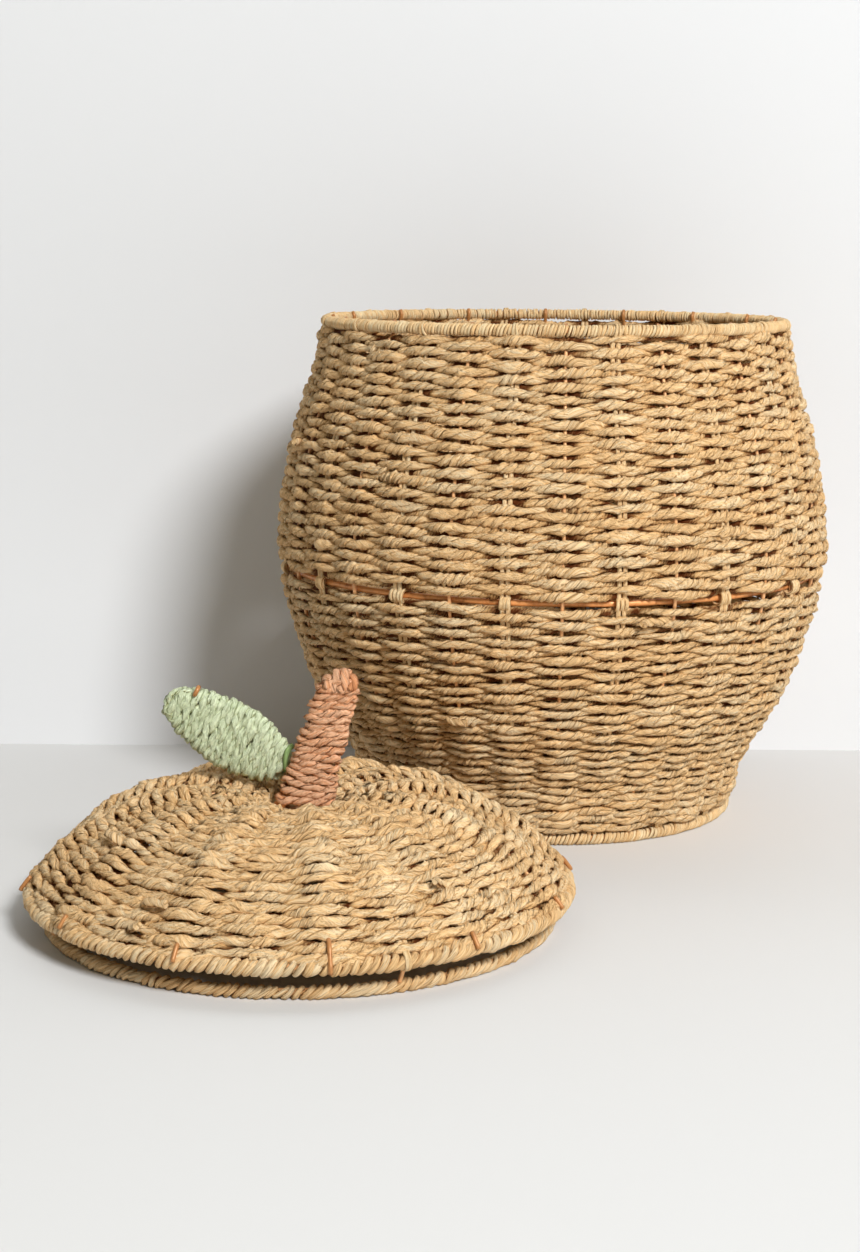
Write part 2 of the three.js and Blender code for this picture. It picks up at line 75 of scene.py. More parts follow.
# The middle of the woven dome, from its rim to the hub
LID_LINE = [(0.1490, 0.0194), (0.1371, 0.0350), (0.1162, 0.0533), (0.0820, 0.0684), (0.0447, 0.0715),
            (0.0170, 0.0610), (0.0030, 0.0600)]
BASE_LINE = [(0.1180, 0.0045), (0.0600, 0.0045), (0.0010, 0.0045)]

WIRE_ANGLE = math.radians(-0.4)
LID_WIRE_ANGLE = math.radians(9)
# The rows near the belly hoop give way to the lashings of the doubled cords: by how much, how far from the
# hoop, and how sharply round each lashing
LASHING_PUSH, LASHING_REACH, LASHING_SHARPNESS = 0.0013, 0.006, 6

# Strand: points, the way out of the cloth and the way across the strand at each, its half sizes, its twist,
# how far it stands off the middle of the cloth, and the depth at which the cloth's light begins
Strand = namedtuple("Strand", "points out side thick wide tilt offset reach")


def paint(red, green, blue):
    """A colour as a screen shows it, 0 to 255, turned into the values that a shader works with."""
    shares = [value / 255 for value in (red, green, blue)]
    return tuple(v / 12.92 if v <= 0.04045 else ((v + 0.055) / 1.055) ** 2.4 for v in shares)


def length(name, description, default):
    return FloatProperty(name=name, description=description, default=default, min=0, unit="LENGTH",
                         subtype="DISTANCE")


def count(name, description, default):
    return IntProperty(name=name, description=description, default=default, min=1)


def spot(name, description, *default):
    return FloatVectorProperty(name=name, description=description, default=default, size=len(default),
                               unit="LENGTH")


def colour(name, description, red, green, blue):
    return FloatVectorProperty(name=name, description=description, default=paint(red, green, blue), size=3,
                               min=0, max=1, subtype="COLOR")


class BasketSizes(bpy.types.PropertyGroup):
    """Sizes of the basket's frame and the number of its rows"""
    rim_radius: length("Rim radius", "Radius of the rim hoop", 0.149)
    rim_height: length("Rim height", "Height of the rim hoop above the floor", 0.3213)
    belly_radius: length("Belly radius", "Radius of the bare hoop at the widest place", 0.173)
    belly_height: length("Belly height", "Height of the belly hoop above the floor", 0.1623)
    base_radius: length("Base radius", "Radius of the base hoop", 0.1198)
    base_height: length("Base height", "Height of the base hoop above the floor", 0.0037)
    stakes: count("Stakes", "Number of upright wires, and of the doubled cords between them", 16)
    upper_rows: count("Upper rows", "Rows of cord above the belly hoop", 40)
    lower_rows: count("Lower rows", "Rows of cord below the belly hoop", 47)
    base_rows: count("Base rows", "Rows of cord in the base", 21)


class CordSizes(bpy.types.PropertyGroup):
    """Sizes of the cords and wires"""
    row_thickness: length("Row thickness", "Thickness of a row's cord where it lies over a stake", 0.0047)
    row_width: length("Row width", "Height of a row's cord where it lies over a stake", 0.0070)
    row_pitch: length("Row pitch", "Distance between rows at which their cord has its full height", 0.0041)
    row_twist: length("Row twist", "Length in which the two plies turn round once", 0.0165)
    row_depth: length("Row depth", "How far a row stands off the stakes' line", 0.0023)
    row_step: length("Row step", "Length between two rings of a row's mesh", 0.00175)
    rim_pitch: length("Rim pitch", "Distance between the turns round the rim", 0.0022)
    base_pitch: length("Base pitch", "Distance between the turns round the base hoop", 0.0027)
    lid_pitch: length("Lid pitch", "Distance between the turns round the lid's hoops", 0.0047)
    warp_diameter: length("Warp cord", "Diameter of one of the two cords of a doubled stake", 0.0029)
    wire_diameter: length("Stake wire", "Diameter of an upright wire", 0.0024)
    hoop_diameter: length("Hoop wire", "Diameter of a hoop's wire", 0.004)


class LidSizes(bpy.types.PropertyGroup):
    """Place and sizes of the lid"""
    centre: spot("Centre", "Place of the lid's axis on the floor", -0.1509, -0.2695)
    rim_radius: length("Rim radius", "Radius of the lid's rim hoop", 0.149)
    rim_height: length("Rim height", "Height of the lid's rim hoop", 0.0194)
    seat_radius: length("Seat radius", "Radius of the ring that drops into the mouth", 0.13905)
    seat_height: length("Seat height", "Height of the seat ring's wire", 0.0036)
    ribs: count("Ribs", "Number of wires in the dome", 12)
    rows: count("Rows", "Rows of cord in the dome", 49)
    lobe_depth: length("Lobe depth", "How deep the dome is drawn in between its ribs", 0.0044)


class HandleSizes(bpy.types.PropertyGroup):
    """Place and sizes of the stem and the leaf"""
    stem_foot: spot("Stem foot", "Where the stem stands", -0.1489, -0.2695, 0.0650)
    stem_length: length("Stem length", "Height of the stem's winding", 0.0735)
    stem_base_width: length("Stem base width", "Width of the stem at its foot", 0.0335)
    stem_top_width: length("Stem top width", "Width of the stem at its top", 0.0225)
    stem_shift: length("Stem shift", "How far the stem's top leans to the right", 0.0206)
    stem_turns: count("Stem turns", "Turns of cord round the stem", 17)
    leaf_foot: spot("Leaf foot", "Where the leaf starts", -0.1605, -0.2591, 0.0823)
    leaf_length: length("Leaf length", "Length of the leaf's winding", 0.076)
    leaf_width: length("Leaf width", "Width of the leaf", 0.041)
    leaf_turns: count("Leaf turns", "Turns of cord round the leaf", 18)


class BasketColours(bpy.types.PropertyGroup):
    """Colours of the cords, the wire and the room"""
    straw: colour("Straw", "Cord of the woven rows", 252, 207, 149)
    pale: colour("Pale straw", "Cord of the wraps and the doubled stakes", 255, 213, 156)
    stem: colour("Stem", "Cord of the stem", 240, 166, 116)
    leaf: colour("Leaf", "Cord of the leaf", 236, 246, 208)
    tie: colour("Tie", "Cord that ties the leaf to the stem", 156, 184, 120)
    wire: colour("Wire", "Paint of the wire frame", 246, 186, 128)
    floor: colour("Floor", "Floor", 224, 223, 223)
    wall: colour("Wall", "Backdrop", 226, 226, 228)


# Lines and waves

def smooth_points(corners, fineness=12):
    """Points along a smooth line through the corners, in two or three dimensions."""
    pts = np.array(corners, float)
    ends = np.vstack([2 * pts[0] - pts[1], pts, 2 * pts[-1] - pts[-2]])
    share = np.linspace(0, 1, fineness, endpoint=False)[:, None]
    parts = [0.5 * (2 * b + (c - a) * share + (2 * a - 5 * b + 4 * c - d) * share ** 2
                    + (3 * b - a - 3 * c + d) * share ** 3)
             for a, b, c, d in zip(ends, ends[1:], ends[2:], ends[3:])]
    return np.vstack(parts + [pts[-1:]])


def distances(points):
    """How far along its line each point lies."""
    return np.r_[0, np.cumsum(np.linalg.norm(np.diff(points, axis=0), axis=1))]


def evenly(step, points, *values):
    """The points and values of a path, read again at equal steps along it."""
    along = distances(points)
    places = np.linspace(0, along[-1], round(along[-1] / step) + 1)

    def read(table):
        if table.ndim == 1:
            return np.interp(places, along, table)
        return np.stack([read(column) for column in table.T], axis=-1)
    return [read(table) for table in (points, *values)]


def rounded_path(corners, step):
    """Points at equal steps along a smooth path through the corners."""
    return evenly(step, smooth_points(corners))[0]


class ProfileLine:
    """A smooth line through (radius, height) corners, read by the distance along it."""

    def __init__(self, corners):
        self.points = smooth_points(corners, fineness=40)
        self.distance = distances(self.points)
        self.length = self.distance[-1]
        self.way = np.gradient(self.points, self.distance, axis=0)

    def at(self, place):
        """Radius and height at a distance along the line, and the way out of it there."""
        radius, height, way_r, way_z = (np.interp(place, self.distance, values)
                                        for values in (*self.points.T, *self.way.T))
        size = np.hypot(way_r, way_z)
        return radius, height, way_z / size, -way_r / size

    def corners(self, start, end, number):
        """Radius and height at equal steps between two distances along the line."""
        return list(zip(*self.at(np.linspace(start, end, number))[:2]))

    def place_of_height(self, height):
        """The distance along a rising line at which it reaches a height."""
        return float(np.interp(height, self.points[:, 1], self.distance))


def around(centre, angle, radius, height):
    """Points round an upright axis. Angle 0 is to the front, and a quarter turn is to the right."""
    angle, radius, height = np.broadcast_arrays(angle, radius, height)
    return np.stack([centre[0] + radius * np.sin(angle), centre[1] - radius * np.cos(angle), height], axis=-1)


def outward(angle, radial, up):
    """A direction that points out from an upright axis and up, in the given shares."""
    return around((0, 0), angle, radial, up)


def wave(rng, angle, lowest, highest):
    """A closed random wave round the basket, about 1 high, of the given numbers of ripples."""
    ripples = np.arange(lowest, highest + 1)
    heights = rng.normal(size=len(ripples)) / np.sqrt(ripples)
    starts = rng.uniform(0, TURN, len(ripples))
    total = (heights[:, None] * np.cos(ripples[:, None] * angle + starts[:, None])).sum(axis=0)
    return total / np.sqrt((1 / ripples).sum() / 2)


def slow_drift(seed, size, reach):
    """A waviness that neighbouring rows share, and that changes slowly from row to row."""
    rng = np.random.default_rng(seed)
    seeds = [rng.integers(1 << 30) for _ in range(2)]

    def drift(angle, place):
        first, second = (wave(np.random.default_rng(s), angle, 2, 9) for s in seeds)
        return size * (first * math.cos(TURN * place / reach) + second * math.sin(TURN * place / reach))
    return drift


def no_bend(angle, place):
    """Stands in for a drift, a relief or a push where a row has none."""
    return 0 * angle


def signed_power(value, power):
    return np.sign(value) * np.abs(value) ** power


# Cords from curves

def two_ply_section(centre):
    """Outline of two plies side by side, clockwise from the groove between them."""
    ply = 1 - centre
    groove = math.acos(-centre / ply)
    right = [(centre + ply * math.cos(groove * share), ply * math.sin(groove * share))
             for share in (-0.6, -0.2, 0.2, 0.6)]
    waist = ply * math.sin(groove)
    return [(0, waist)] + right[::-1] + [(0, -waist)] + [(-x, y) for x, y in right]


TWO_PLY = two_ply_section(0.12)
FULL_PLY = two_ply_section(0.2)
ROUND = [(math.cos(TURN * k / 8), -math.sin(TURN * k / 8)) for k in range(8)]
# The curve tool sweeps the sections at this size, and each strand's own half sizes come after
SECTION_UNIT = 0.001
# Each cord has this length of the map to itself, more than the longest one needs
METRES_PER_STRAND = 3


def read_values(data, key, width):
    values = np.empty(len(data) * width, np.float32)
    data.foreach_get(key, values)
    return values.reshape(-1, width).astype(float)


def write_values(data, key, values):
    data.foreach_set(key, np.ravel(values).astype(np.float32))


def add_spline(curve, points, closed):
    spline = curve.splines.new("POLY")
    spline.points.add(len(points) - 1)
    write_values(spline.points, "co", np.c_[points, np.ones(len(points))])
    spline.use_cyclic_u = closed
    return spline


def sweep(name, strands, section, closed, twist_mode):
    """A mesh of the section swept along each strand. Its vertices lie ring after ring, cord after cord."""
    outline = bpy.data.curves.new("section", "CURVE")
    add_spline(outline, np.c_[np.array(section) * SECTION_UNIT, np.zeros(len(section))], True)
    profile = bpy.data.objects.new("section", outline)
    curve = bpy.data.curves.new(name, "CURVE")
    curve.dimensions = "3D"
    curve.twist_mode = twist_mode
    curve.bevel_mode = "OBJECT"
    curve.bevel_object = profile
    for strand in strands:
        write_values(add_spline(curve, strand.points, closed).points, "tilt", strand.tilt)
    holder = bpy.data.objects.new(name, curve)
    bpy.context.scene.collection.objects.link(holder)
    mesh = bpy.data.meshes.new_from_object(holder.evaluated_get(bpy.context.evaluated_depsgraph_get()))
    bpy.data.batch_remove((holder, curve, profile, outline))
    mesh.name = name
    return mesh


def squeeze(mesh, strands, sides, crumple, rng):
    """Squeeze the swept section to each strand's half sizes, and note how deep each vertex lies, as a mask
    for painted shade.
    """
    # Crumpled paper: a random factor for each vertex, evened out twice along the cord
    dents = []
    for strand in strands:
        dent = rng.normal(size=(len(strand.points), sides))
        for _ in range(2):
            dent = (dent + np.roll(dent, 1, axis=0) + np.roll(dent, -1, axis=0)) / 2
        dents.append(1 + crumple * dent)
    dents = np.vstack(dents)
    joined = [np.concatenate(values)[:, None] for values in zip(*strands)]
    points, out, side, thick, wide, _, offset, reach = joined
    away = (read_values(mesh.vertices, "co", 3).reshape(len(points), sides, 3) - points) / SECTION_UNIT
    axes, sizes = (out, side, np.cross(out, side)), (thick, wide, np.minimum(thick, wide))
    amounts = [(away * axis).sum(axis=2) for axis in axes]
    coords = points + sum((amount * size * dents)[..., None] * axis
                          for amount, size, axis in zip(amounts, sizes, axes))
    # Nothing goes below the floor
    coords[..., 2] = np.maximum(coords[..., 2], 0)
    write_values(mesh.vertices, "co", coords)

    # Painted shade mask: 0 in the open, 1 in the hollows of the cloth and against the next row, where shade
    # falls
    depth = 1 - np.abs(offset + amounts[0] * thick) / reach
    edge = 0.9 * np.clip((np.abs(amounts[1]) - 0.72) / 0.28, 0, 1)
    hollow = mesh.attributes.new("hollow", "FLOAT", "POINT")
    write_values(hollow.data, "value", np.clip(np.maximum(depth, edge), 0, 1))


def map_metres(mesh, strands, sides, rings_per_tone, first_tone):
    """Metres along each cord in the UV map, and 3 metres more for each cord, or turn of one, before it."""
    rings = np.array([len(strand.points) for strand in strands])
    lengths = np.array([distances(strand.points)[-1] for strand in strands])
    vertices = np.empty(len(mesh.loops), np.int32)
    mesh.loops.foreach_get("vertex_index", vertices)
    tone = np.repeat(np.arange(len(strands)), rings * sides)[vertices]
    uv = read_values(mesh.uv_layers[0].data, "uv", 2)
    metres = uv[:, 0] * lengths[tone]
    if rings_per_tone:
        # The faces have four corners each, and one belongs to the turn of its first ring
        ring = np.round(uv[:, 0] * rings[0]).astype(int).reshape(-1, 4).min(axis=1)
        tone = np.repeat(ring // rings_per_tone, 4)
        metres = metres - tone * rings_per_tone * lengths[0] / rings[0]
    uv[:, 0] = np.clip(metres, 0.01, METRES_PER_STRAND - 0.01) + METRES_PER_STRAND * (tone + first_tone)
    write_values(mesh.uv_layers[0].data, "uv", uv)


def close_ends(mesh):
    """Close the cut ends of open cords, with the map of the cord's side at each corner."""
    shape = bmesh.new()
    shape.from_mesh(mesh)
    layer = shape.loops.layers.uv.verify()
    rims = [edge for edge in shape.edges if edge.is_boundary]
    for face in bmesh.ops.holes_fill(shape, edges=rims, sides=0)["faces"]:
        face.smooth = False
        for corner in face.loops:
            corner[layer].uv = corner.link_loop_radial_next.link_loop_next[layer].uv
    shape.to_mesh(mesh)
    shape.free()


def add_piece(name, mesh, body, material, nodes=()):
    """Put a mesh in the scene as a piece of the basket or the lid, in place of the CAD model's nodes."""
    piece = bpy.data.objects.new(name, mesh)
    bpy.context.scene.collection.objects.link(piece)
    mesh.materials.clear()
    mesh.materials.append(material)
    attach(piece, body)
    if nodes:
        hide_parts(*nodes)


def lay_cords(name, body, material, nodes, strands, section, closed, seed, crumple=0.05, first_tone=0,
              rings_per_tone=None):
    """Add a piece made of cords. Woven rows are swept upright, and other cords with the least turn."""
    upright = closed and rings_per_tone is None
    mesh = sweep(name, strands, section, closed, "Z_UP" if upright else "MINIMUM")
    squeeze(mesh, strands, len(section), crumple, np.random.default_rng(seed))
    map_metres(mesh, strands, len(section), rings_per_tone, first_tone)
    mesh.shade_smooth()
    if not closed:
        close_ends(mesh)
    mesh.update()
    add_piece(name, mesh, body, material, nodes)


def open_strand(points, out, thick, wide, twist=None):
    """A strand along points, with one way out for the whole strand or one for each point."""
    points = np.array(points, float)
    out = np.broadcast_to(np.array(out, float), points.shape).copy()
    run = np.gradient(points, axis=0)
    run /= np.linalg.norm(run, axis=1, keepdims=True)
    out -= run * (out * run).sum(axis=1, keepdims=True)
    out /= np.linalg.norm(out, axis=1, keepdims=True)
    side = np.cross(out, np.gradient(points, axis=0))
    side /= np.linalg.norm(side, axis=1, keepdims=True)
    size = np.ones(len(points))
    tilt = TURN * distances(points) / twist if twist else 0 * size
    return Strand(points, out, side, thick * size, wide * size, tilt, 0 * size, thick * size)


# Materials

def add_node(tree, kind, inputs=(), **settings):
    """A node with its settings and inputs; an input is a value or another node's output."""
    node = tree.nodes.new("ShaderNode" + kind)
    for key, value in settings.items():
        setattr(node, key, value)
    for key, value in dict(inputs).items():
        if isinstance(value, bpy.types.NodeSocket):
            tree.links.new(value, node.inputs[key])
        else:
            node.inputs[key].default_value = value
    return node


def math_node(tree, operation, *values, clamp=False):
    return add_node(tree, "Math", enumerate(values), operation=operation, use_clamp=clamp).outputs[0]


def mix_colours(tree, share, first, second, blend="MIX"):
    inputs = {0: share, 6: first, 7: second}
    return add_node(tree, "Mix", inputs, data_type="RGBA", blend_type=blend).outputs[2]


def ramp(tree, value, low, high, start=0.0, end=1.0, shape="LINEAR"):
    """A value that goes from start to end while another goes from low to high."""
    inputs = {"Value": value, "From Min": low, "From Max": high, "To Min": start, "To Max": end}
    return add_node(tree, "MapRange", inputs, interpolation_type=shape).outputs[0]


def noise(tree, vector, scale, detail, roughness=0.5, distortion=0.0):
    inputs = {"Vector": vector, "Scale": scale, "Detail": detail, "Roughness": roughness,
              "Distortion": distortion}
    return add_node(tree, "TexNoise", inputs).outputs["Fac"]


def new_group(name, inputs, outputs):
    """A node group with its sockets: a colour where the default is a tuple, or else a number."""
    group = bpy.data.node_groups.new(name, "ShaderNodeTree")
    for sockets, side in ((inputs, "INPUT"), (outputs, "OUTPUT")):
        for label, default in sockets.items():
            kind = "NodeSocketColor" if isinstance(default, tuple) else "NodeSocketFloat"
            socket = group.interface.new_socket(name=label, in_out=side, socket_type=kind)
            socket.default_value = default
    return group


def twisted_paper_group():
    """Paper cord: streaks along the fibre, creases, painted shade in the grooves, folds and hollows of the
    cloth, and a tone of its own for each cord.
    """
    found = bpy.data.node_groups.get("twisted_paper")
    if found:
        return found
    group = new_group("twisted_paper", {
        "Colour": (0.5, 0.4, 0.3, 1), "Dark Colour": (0.2, 0.15, 0.1, 1), "Light Colour": (0.8, 0.7, 0.6, 1),
        "Grooves": 2.0, "Groove Depth": 0.8, "Hollow Depth": 0.95, "Tone Spread": 0.22, "Fibre Turn": 40.0,
    }, {"Color": (0.0, 0.0, 0.0, 1), "Roughness": 0.0, "Height": 0.0})
    given = group.nodes.new("NodeGroupInput").outputs
    result = group.nodes.new("NodeGroupOutput").inputs
    calc, mix, slope = (partial(tool, group) for tool in (math_node, mix_colours, ramp))
    place = add_node(group, "TexCoord").outputs
    axes = add_node(group, "SeparateXYZ", {"Vector": place["UV"]}).outputs
    tone_number = calc("FLOOR", calc("DIVIDE", axes[0], METRES_PER_STRAND))
    metres = calc("SUBTRACT", axes[0], calc("MULTIPLY", tone_number, METRES_PER_STRAND))
    tone = add_node(group, "TexWhiteNoise", {"W": tone_number}, noise_dimensions="1D").outputs["Value"]
    offset = calc("MULTIPLY", tone, 91.0)
    # The fibres run nearly along the cord while the plies wind round it
    turned = calc("SUBTRACT", axes[1], calc("MULTIPLY", metres, given["Fibre Turn"]))

    def streaks(along, across, **look):
        place = {0: calc("MULTIPLY", metres, along), 1: calc("MULTIPLY", turned, across), 2: offset}
        return noise(group, add_node(group, "CombineXYZ", place).outputs[0], scale=1.0, **look)

    fibre = streaks(along=120.0, across=20.0, detail=5, roughness=0.7)
    crease = streaks(along=190.0, across=8.0, detail=3, roughness=0.6, distortion=0.8)
    fleck = streaks(along=300.0, across=22.0, detail=2)
    patch = noise(group, place["Object"], scale=34.0, detail=2)
    # The paper is folded sharply where the noise passes its middle value
    ridge = calc("ABSOLUTE", calc("SUBTRACT", crease, 0.5))
    fold = slope(ridge, 0.0, 0.02, 1.0, 0.0)
    cosine = calc("COSINE", calc("MULTIPLY", calc("MULTIPLY", axes[1], given["Grooves"]), TURN))
    groove = calc("POWER", calc("MULTIPLY_ADD", cosine, 0.5, 0.5), 34.0)
    # The groove between the plies closes here and there
    groove = calc("MULTIPLY", groove, slope(crease, 0.35, 0.6))
    groove = calc("MULTIPLY", groove, given["Groove Depth"], clamp=True)
    # The painted shade mask from the mesh
    depth = add_node(group, "Attribute", attribute_name="hollow", attribute_type="GEOMETRY").outputs["Fac"]
    hollow = calc("MULTIPLY", slope(depth, 0.62, 0.95, shape="SMOOTHSTEP"), given["Hollow Depth"], clamp=True)

    own_tone = calc("MULTIPLY", calc("SUBTRACT", tone, 0.5), given["Tone Spread"])
    lightness = calc("ADD", calc("MULTIPLY", fibre, 2.3), own_tone)
    lightness = calc("ADD", lightness, calc("MULTIPLY_ADD", patch, 0.6, -0.95))
    dark = given["Dark Colour"]
    shade = mix(slope(lightness, 0.05, 0.36, 0.4, 0.0), given["Colour"], dark)
    shade = mix(slope(lightness, 0.44, 0.76), shade, given["Light Colour"])
    shade = mix(slope(fleck, 0.66, 0.74, end=0.6), shade, dark)
    # Painted shade along the sharp folds
    shade = mix(calc("MULTIPLY", fold, 0.6), shade, dark)
    # Painted shade: deep in the cloth the colour is browner, as light that has passed from cord to cord
    shade = mix(slope(depth, 0.45, 0.9), shade, (0.86, 0.74, 0.54, 1), "MULTIPLY")
    # Painted shade in the groove between the plies
    shade = mix(groove, shade, dark)
    # Painted shade, darkest deep in the cloth and where the rows touch
    shade = mix(hollow, shade, mix(1.0, dark, dark, "MULTIPLY"))
    height = calc("ADD", calc("MULTIPLY", fibre, 0.7), calc("MULTIPLY", ridge, 1.3))
    height = calc("SUBTRACT", height, calc("MULTIPLY", fold, 0.2))
    height = calc("SUBTRACT", height, calc("MULTIPLY", groove, 0.8))
    roughness = calc("MULTIPLY_ADD", crease, 0.25, 0.62)
    for key, value in (("Color", shade), ("Roughness", roughness), ("Height", height)):
        group.links.new(value, result[key])
    return group


def plain_material(name):
    """A new material, its nodes and its shader."""
    material = bpy.data.materials.new(name)
    material.use_nodes = True
    tree = material.node_tree
    return material, tree, tree.nodes["Principled BSDF"]


def dress(tree, shader, colour, roughness, height, strength, distance):
    """Give the shader a colour, a roughness and a relief whose full height is a distance in metres."""
    relief = add_node(tree, "Bump", {"Height": height, "Strength": strength, "Distance": distance}).outputs[0]
    for key, value in (("Base Color", colour), ("Roughness", roughness), ("Normal", relief)):
        tree.links.new(value, shader.inputs[key])


def toned(base, factors):
    """A lighter or darker tone of a colour, with a factor for each of red, green and blue."""
    return tuple(min(1, v * f) for v, f in zip(base, factors)) + (1,)


def paper_material(name, base, dark=(0.34, 0.20, 0.06), light=(1.03, 1.24, 1.6), bump=0.0016, **settings):
    """Twisted paper cord in one colour, with painted shade in its grooves and hollows, and paler ridges."""
    found = bpy.data.materials.get(name)
    if found:
        return found
    material, tree, shader = plain_material(name)
    cord = tree.nodes.new("ShaderNodeGroup")
    cord.node_tree = twisted_paper_group()
    settings = {"colour": toned(base, (1, 1, 1)), "dark_colour": toned(base, dark),
                "light_colour": toned(base, light), **settings}
    for key, value in settings.items():
        cord.inputs[key.replace("_", " ").title()].default_value = value
    dress(tree, shader, *cord.outputs, strength=0.9, distance=bump)
    shader.inputs["Specular IOR Level"].default_value = 0.1
    return material


def straw_material(colours):
    """The two-ply cord of the woven rows."""
    return paper_material("straw_paper", colours.straw)


def pale_material(colours):
    """The untwisted cord of the doubled stakes and of the wraps round the basket's hoops."""
    return paper_material("pale_paper", colours.pale, dark=(0.40, 0.26, 0.11), bump=0.0010, grooves=1.0,
                          groove_depth=0.0, tone_spread=0.25, hollow_depth=0.85, fibre_turn=0.0)


def lid_wrap_material(colours):
    """The cord round the lid's hoops, a little duller and more streaked than the rim's."""
    base = toned(colours.pale, (0.92, 0.89, 0.86))
    return paper_material("lid_wrap_paper", base, dark=(0.34, 0.21, 0.09), grooves=1.0, groove_depth=0.0,
                          tone_spread=0.4, fibre_turn=0.0)


def stem_material(colours):
    """The reddish cord of the stem, with deep grooves darkened by painted shade, and pale ridges."""
    return paper_material("stem_paper", colours.stem, dark=(0.26, 0.13, 0.05), light=(1.12, 1.5, 2.0),
                          groove_depth=1.0, tone_spread=0.6)


def leaf_material(colours):
    """The pale green cord of the leaf."""
    return paper_material("leaf_paper", colours.leaf, dark=(0.3, 0.34, 0.16), light=(1.06, 1.06, 1.15),
                          tone_spread=0.4)


def tie_material(colours):
    """The untwisted green cord that ties the leaf to the stem."""
    return paper_material("tie_paper", colours.tie, dark=(0.4, 0.45, 0.3), light=(1.15, 1.15, 1.15),
                          grooves=1.0, groove_depth=0.1, tone_spread=0.3, fibre_turn=0.0)


# Darker tone of the bent wire ends, also used as painted shade on the uprights' tops inside the rim wrap
BENT_WIRE_TONE = (0.56, 0.46, 0.34)


def wire_material(colours, name="wire_paint", tone=(1.0, 1.0, 1.0), dark_above=1.0):
    """Painted wire: an even coat with small worn and stained patches, and darker above a height in metres, as
    painted shade.
    """
    found = bpy.data.materials.get(name)
    if found:
        return found
    material, tree, shader = plain_material(name)
    place = add_node(tree, "TexCoord").outputs["Object"]
    stain = noise(tree, place, scale=160.0, detail=4, roughness=0.6)
    wear = noise(tree, place, scale=900.0, detail=2)
    height = add_node(tree, "SeparateXYZ", {0: place}).outputs["Z"]
    base = toned(colours.wire, tone)
    shade = mix_colours(tree, ramp(tree, stain, 0.5, 0.68), base, toned(base, (0.55, 0.42, 0.32)))
    shade = mix_colours(tree, ramp(tree, wear, 0.55, 0.75, end=0.5), shade, toned(base, (1.05, 1.25, 1.5)))
    bent = ramp(tree, height, dark_above, dark_above + 0.002)
    shade = mix_colours(tree, bent, shade, toned(base, BENT_WIRE_TONE))
    roughness = math_node(tree, "MULTIPLY_ADD", stain, 0.3, 0.25)
    dress(tree, shader, shade, roughness, stain, strength=0.3, distance=0.0003)
    shader.inputs["Metallic"].default_value = 0.15
    return material


def bent_wire_material(colours):
    """The darker paint of the wires' bent ends."""
    return wire_material(colours, "bent_wire_paint", BENT_WIRE_TONE)


def hoop_material(colours):
    """The paint of the bare belly hoop."""
    return wire_material(colours, "hoop_paint", (0.95, 0.76, 0.56))


# Woven rows

# Lay: the stakes' line and its axis, floats round the row, angle of the first one, depth, half sizes, how
# much narrower the cord is between two stakes, step of the mesh, length of a twist, and what bends the rows
Lay = namedtuple("Lay", "line centre floats first_angle depth thick wide narrowing step twist drift relief "
                        "push", defaults=(no_bend, no_bend))


def woven_row(lay, place, in_front, seed):
    """One closed row of cord that passes in front of and behind the stakes in turn."""
    rng = np.random.default_rng(seed)
    radius = float(lay.line.at(place)[0])
    rings = max(20, round(TURN * radius / lay.step))
    angle = TURN * np.arange(rings) / rings
    # The small rows near an axis bend less
    fade = min(1, radius / 0.045)
    swing = (1 if in_front else -1) * np.cos(lay.floats * (angle - lay.first_angle))
    crossing = 1 - np.abs(swing) ** 1.6
    jitter = 0.0004 * wave(rng, angle, 3, 44) * fade
    here = place + lay.drift(angle, place) + jitter + lay.push(angle, place)
    line_radius, height, out_r, out_z = lay.line.at(here)
    relief = lay.relief(angle, here)
    offset = lay.depth * fade * swing * (1 + 0.2 * wave(rng, angle, 4, 34)) + relief
    points = around(lay.centre, angle, line_radius + out_r * offset, height + out_z * offset)
    grown = 1 + 0.05 * rng.normal() + 0.11 * wave(rng, angle, 5, 90)
    thick = lay.thick * (1 + 0.08 * crossing) * grown
    wide = lay.wide * (1 - lay.narrowing * crossing) * grown
    turns = round(TURN * radius / lay.twist)
    tilt = rng.uniform(0, TURN) - turns * angle + 1.8 * wave(rng, angle, 3, 40)
    reach = np.full(rings, (lay.depth * fade + lay.thick) * 0.85)
    return Strand(points, outward(angle, out_r, out_z), outward(angle, -out_z, out_r), thick, wide, tilt,
                  offset - relief, reach)


def woven_rows(lay, places, seed):
    """Rows at the given places along the stakes, each behind the stakes that the last one is in front of."""
    return [woven_row(lay, place, row % 2 == 0, seed + row) for row, place in enumerate(places)]


class BasketOperator:
    bl_options = {"REGISTER", "UNDO"}

    def execute(self, context):
        self.build(context.scene)
        return {"FINISHED"}


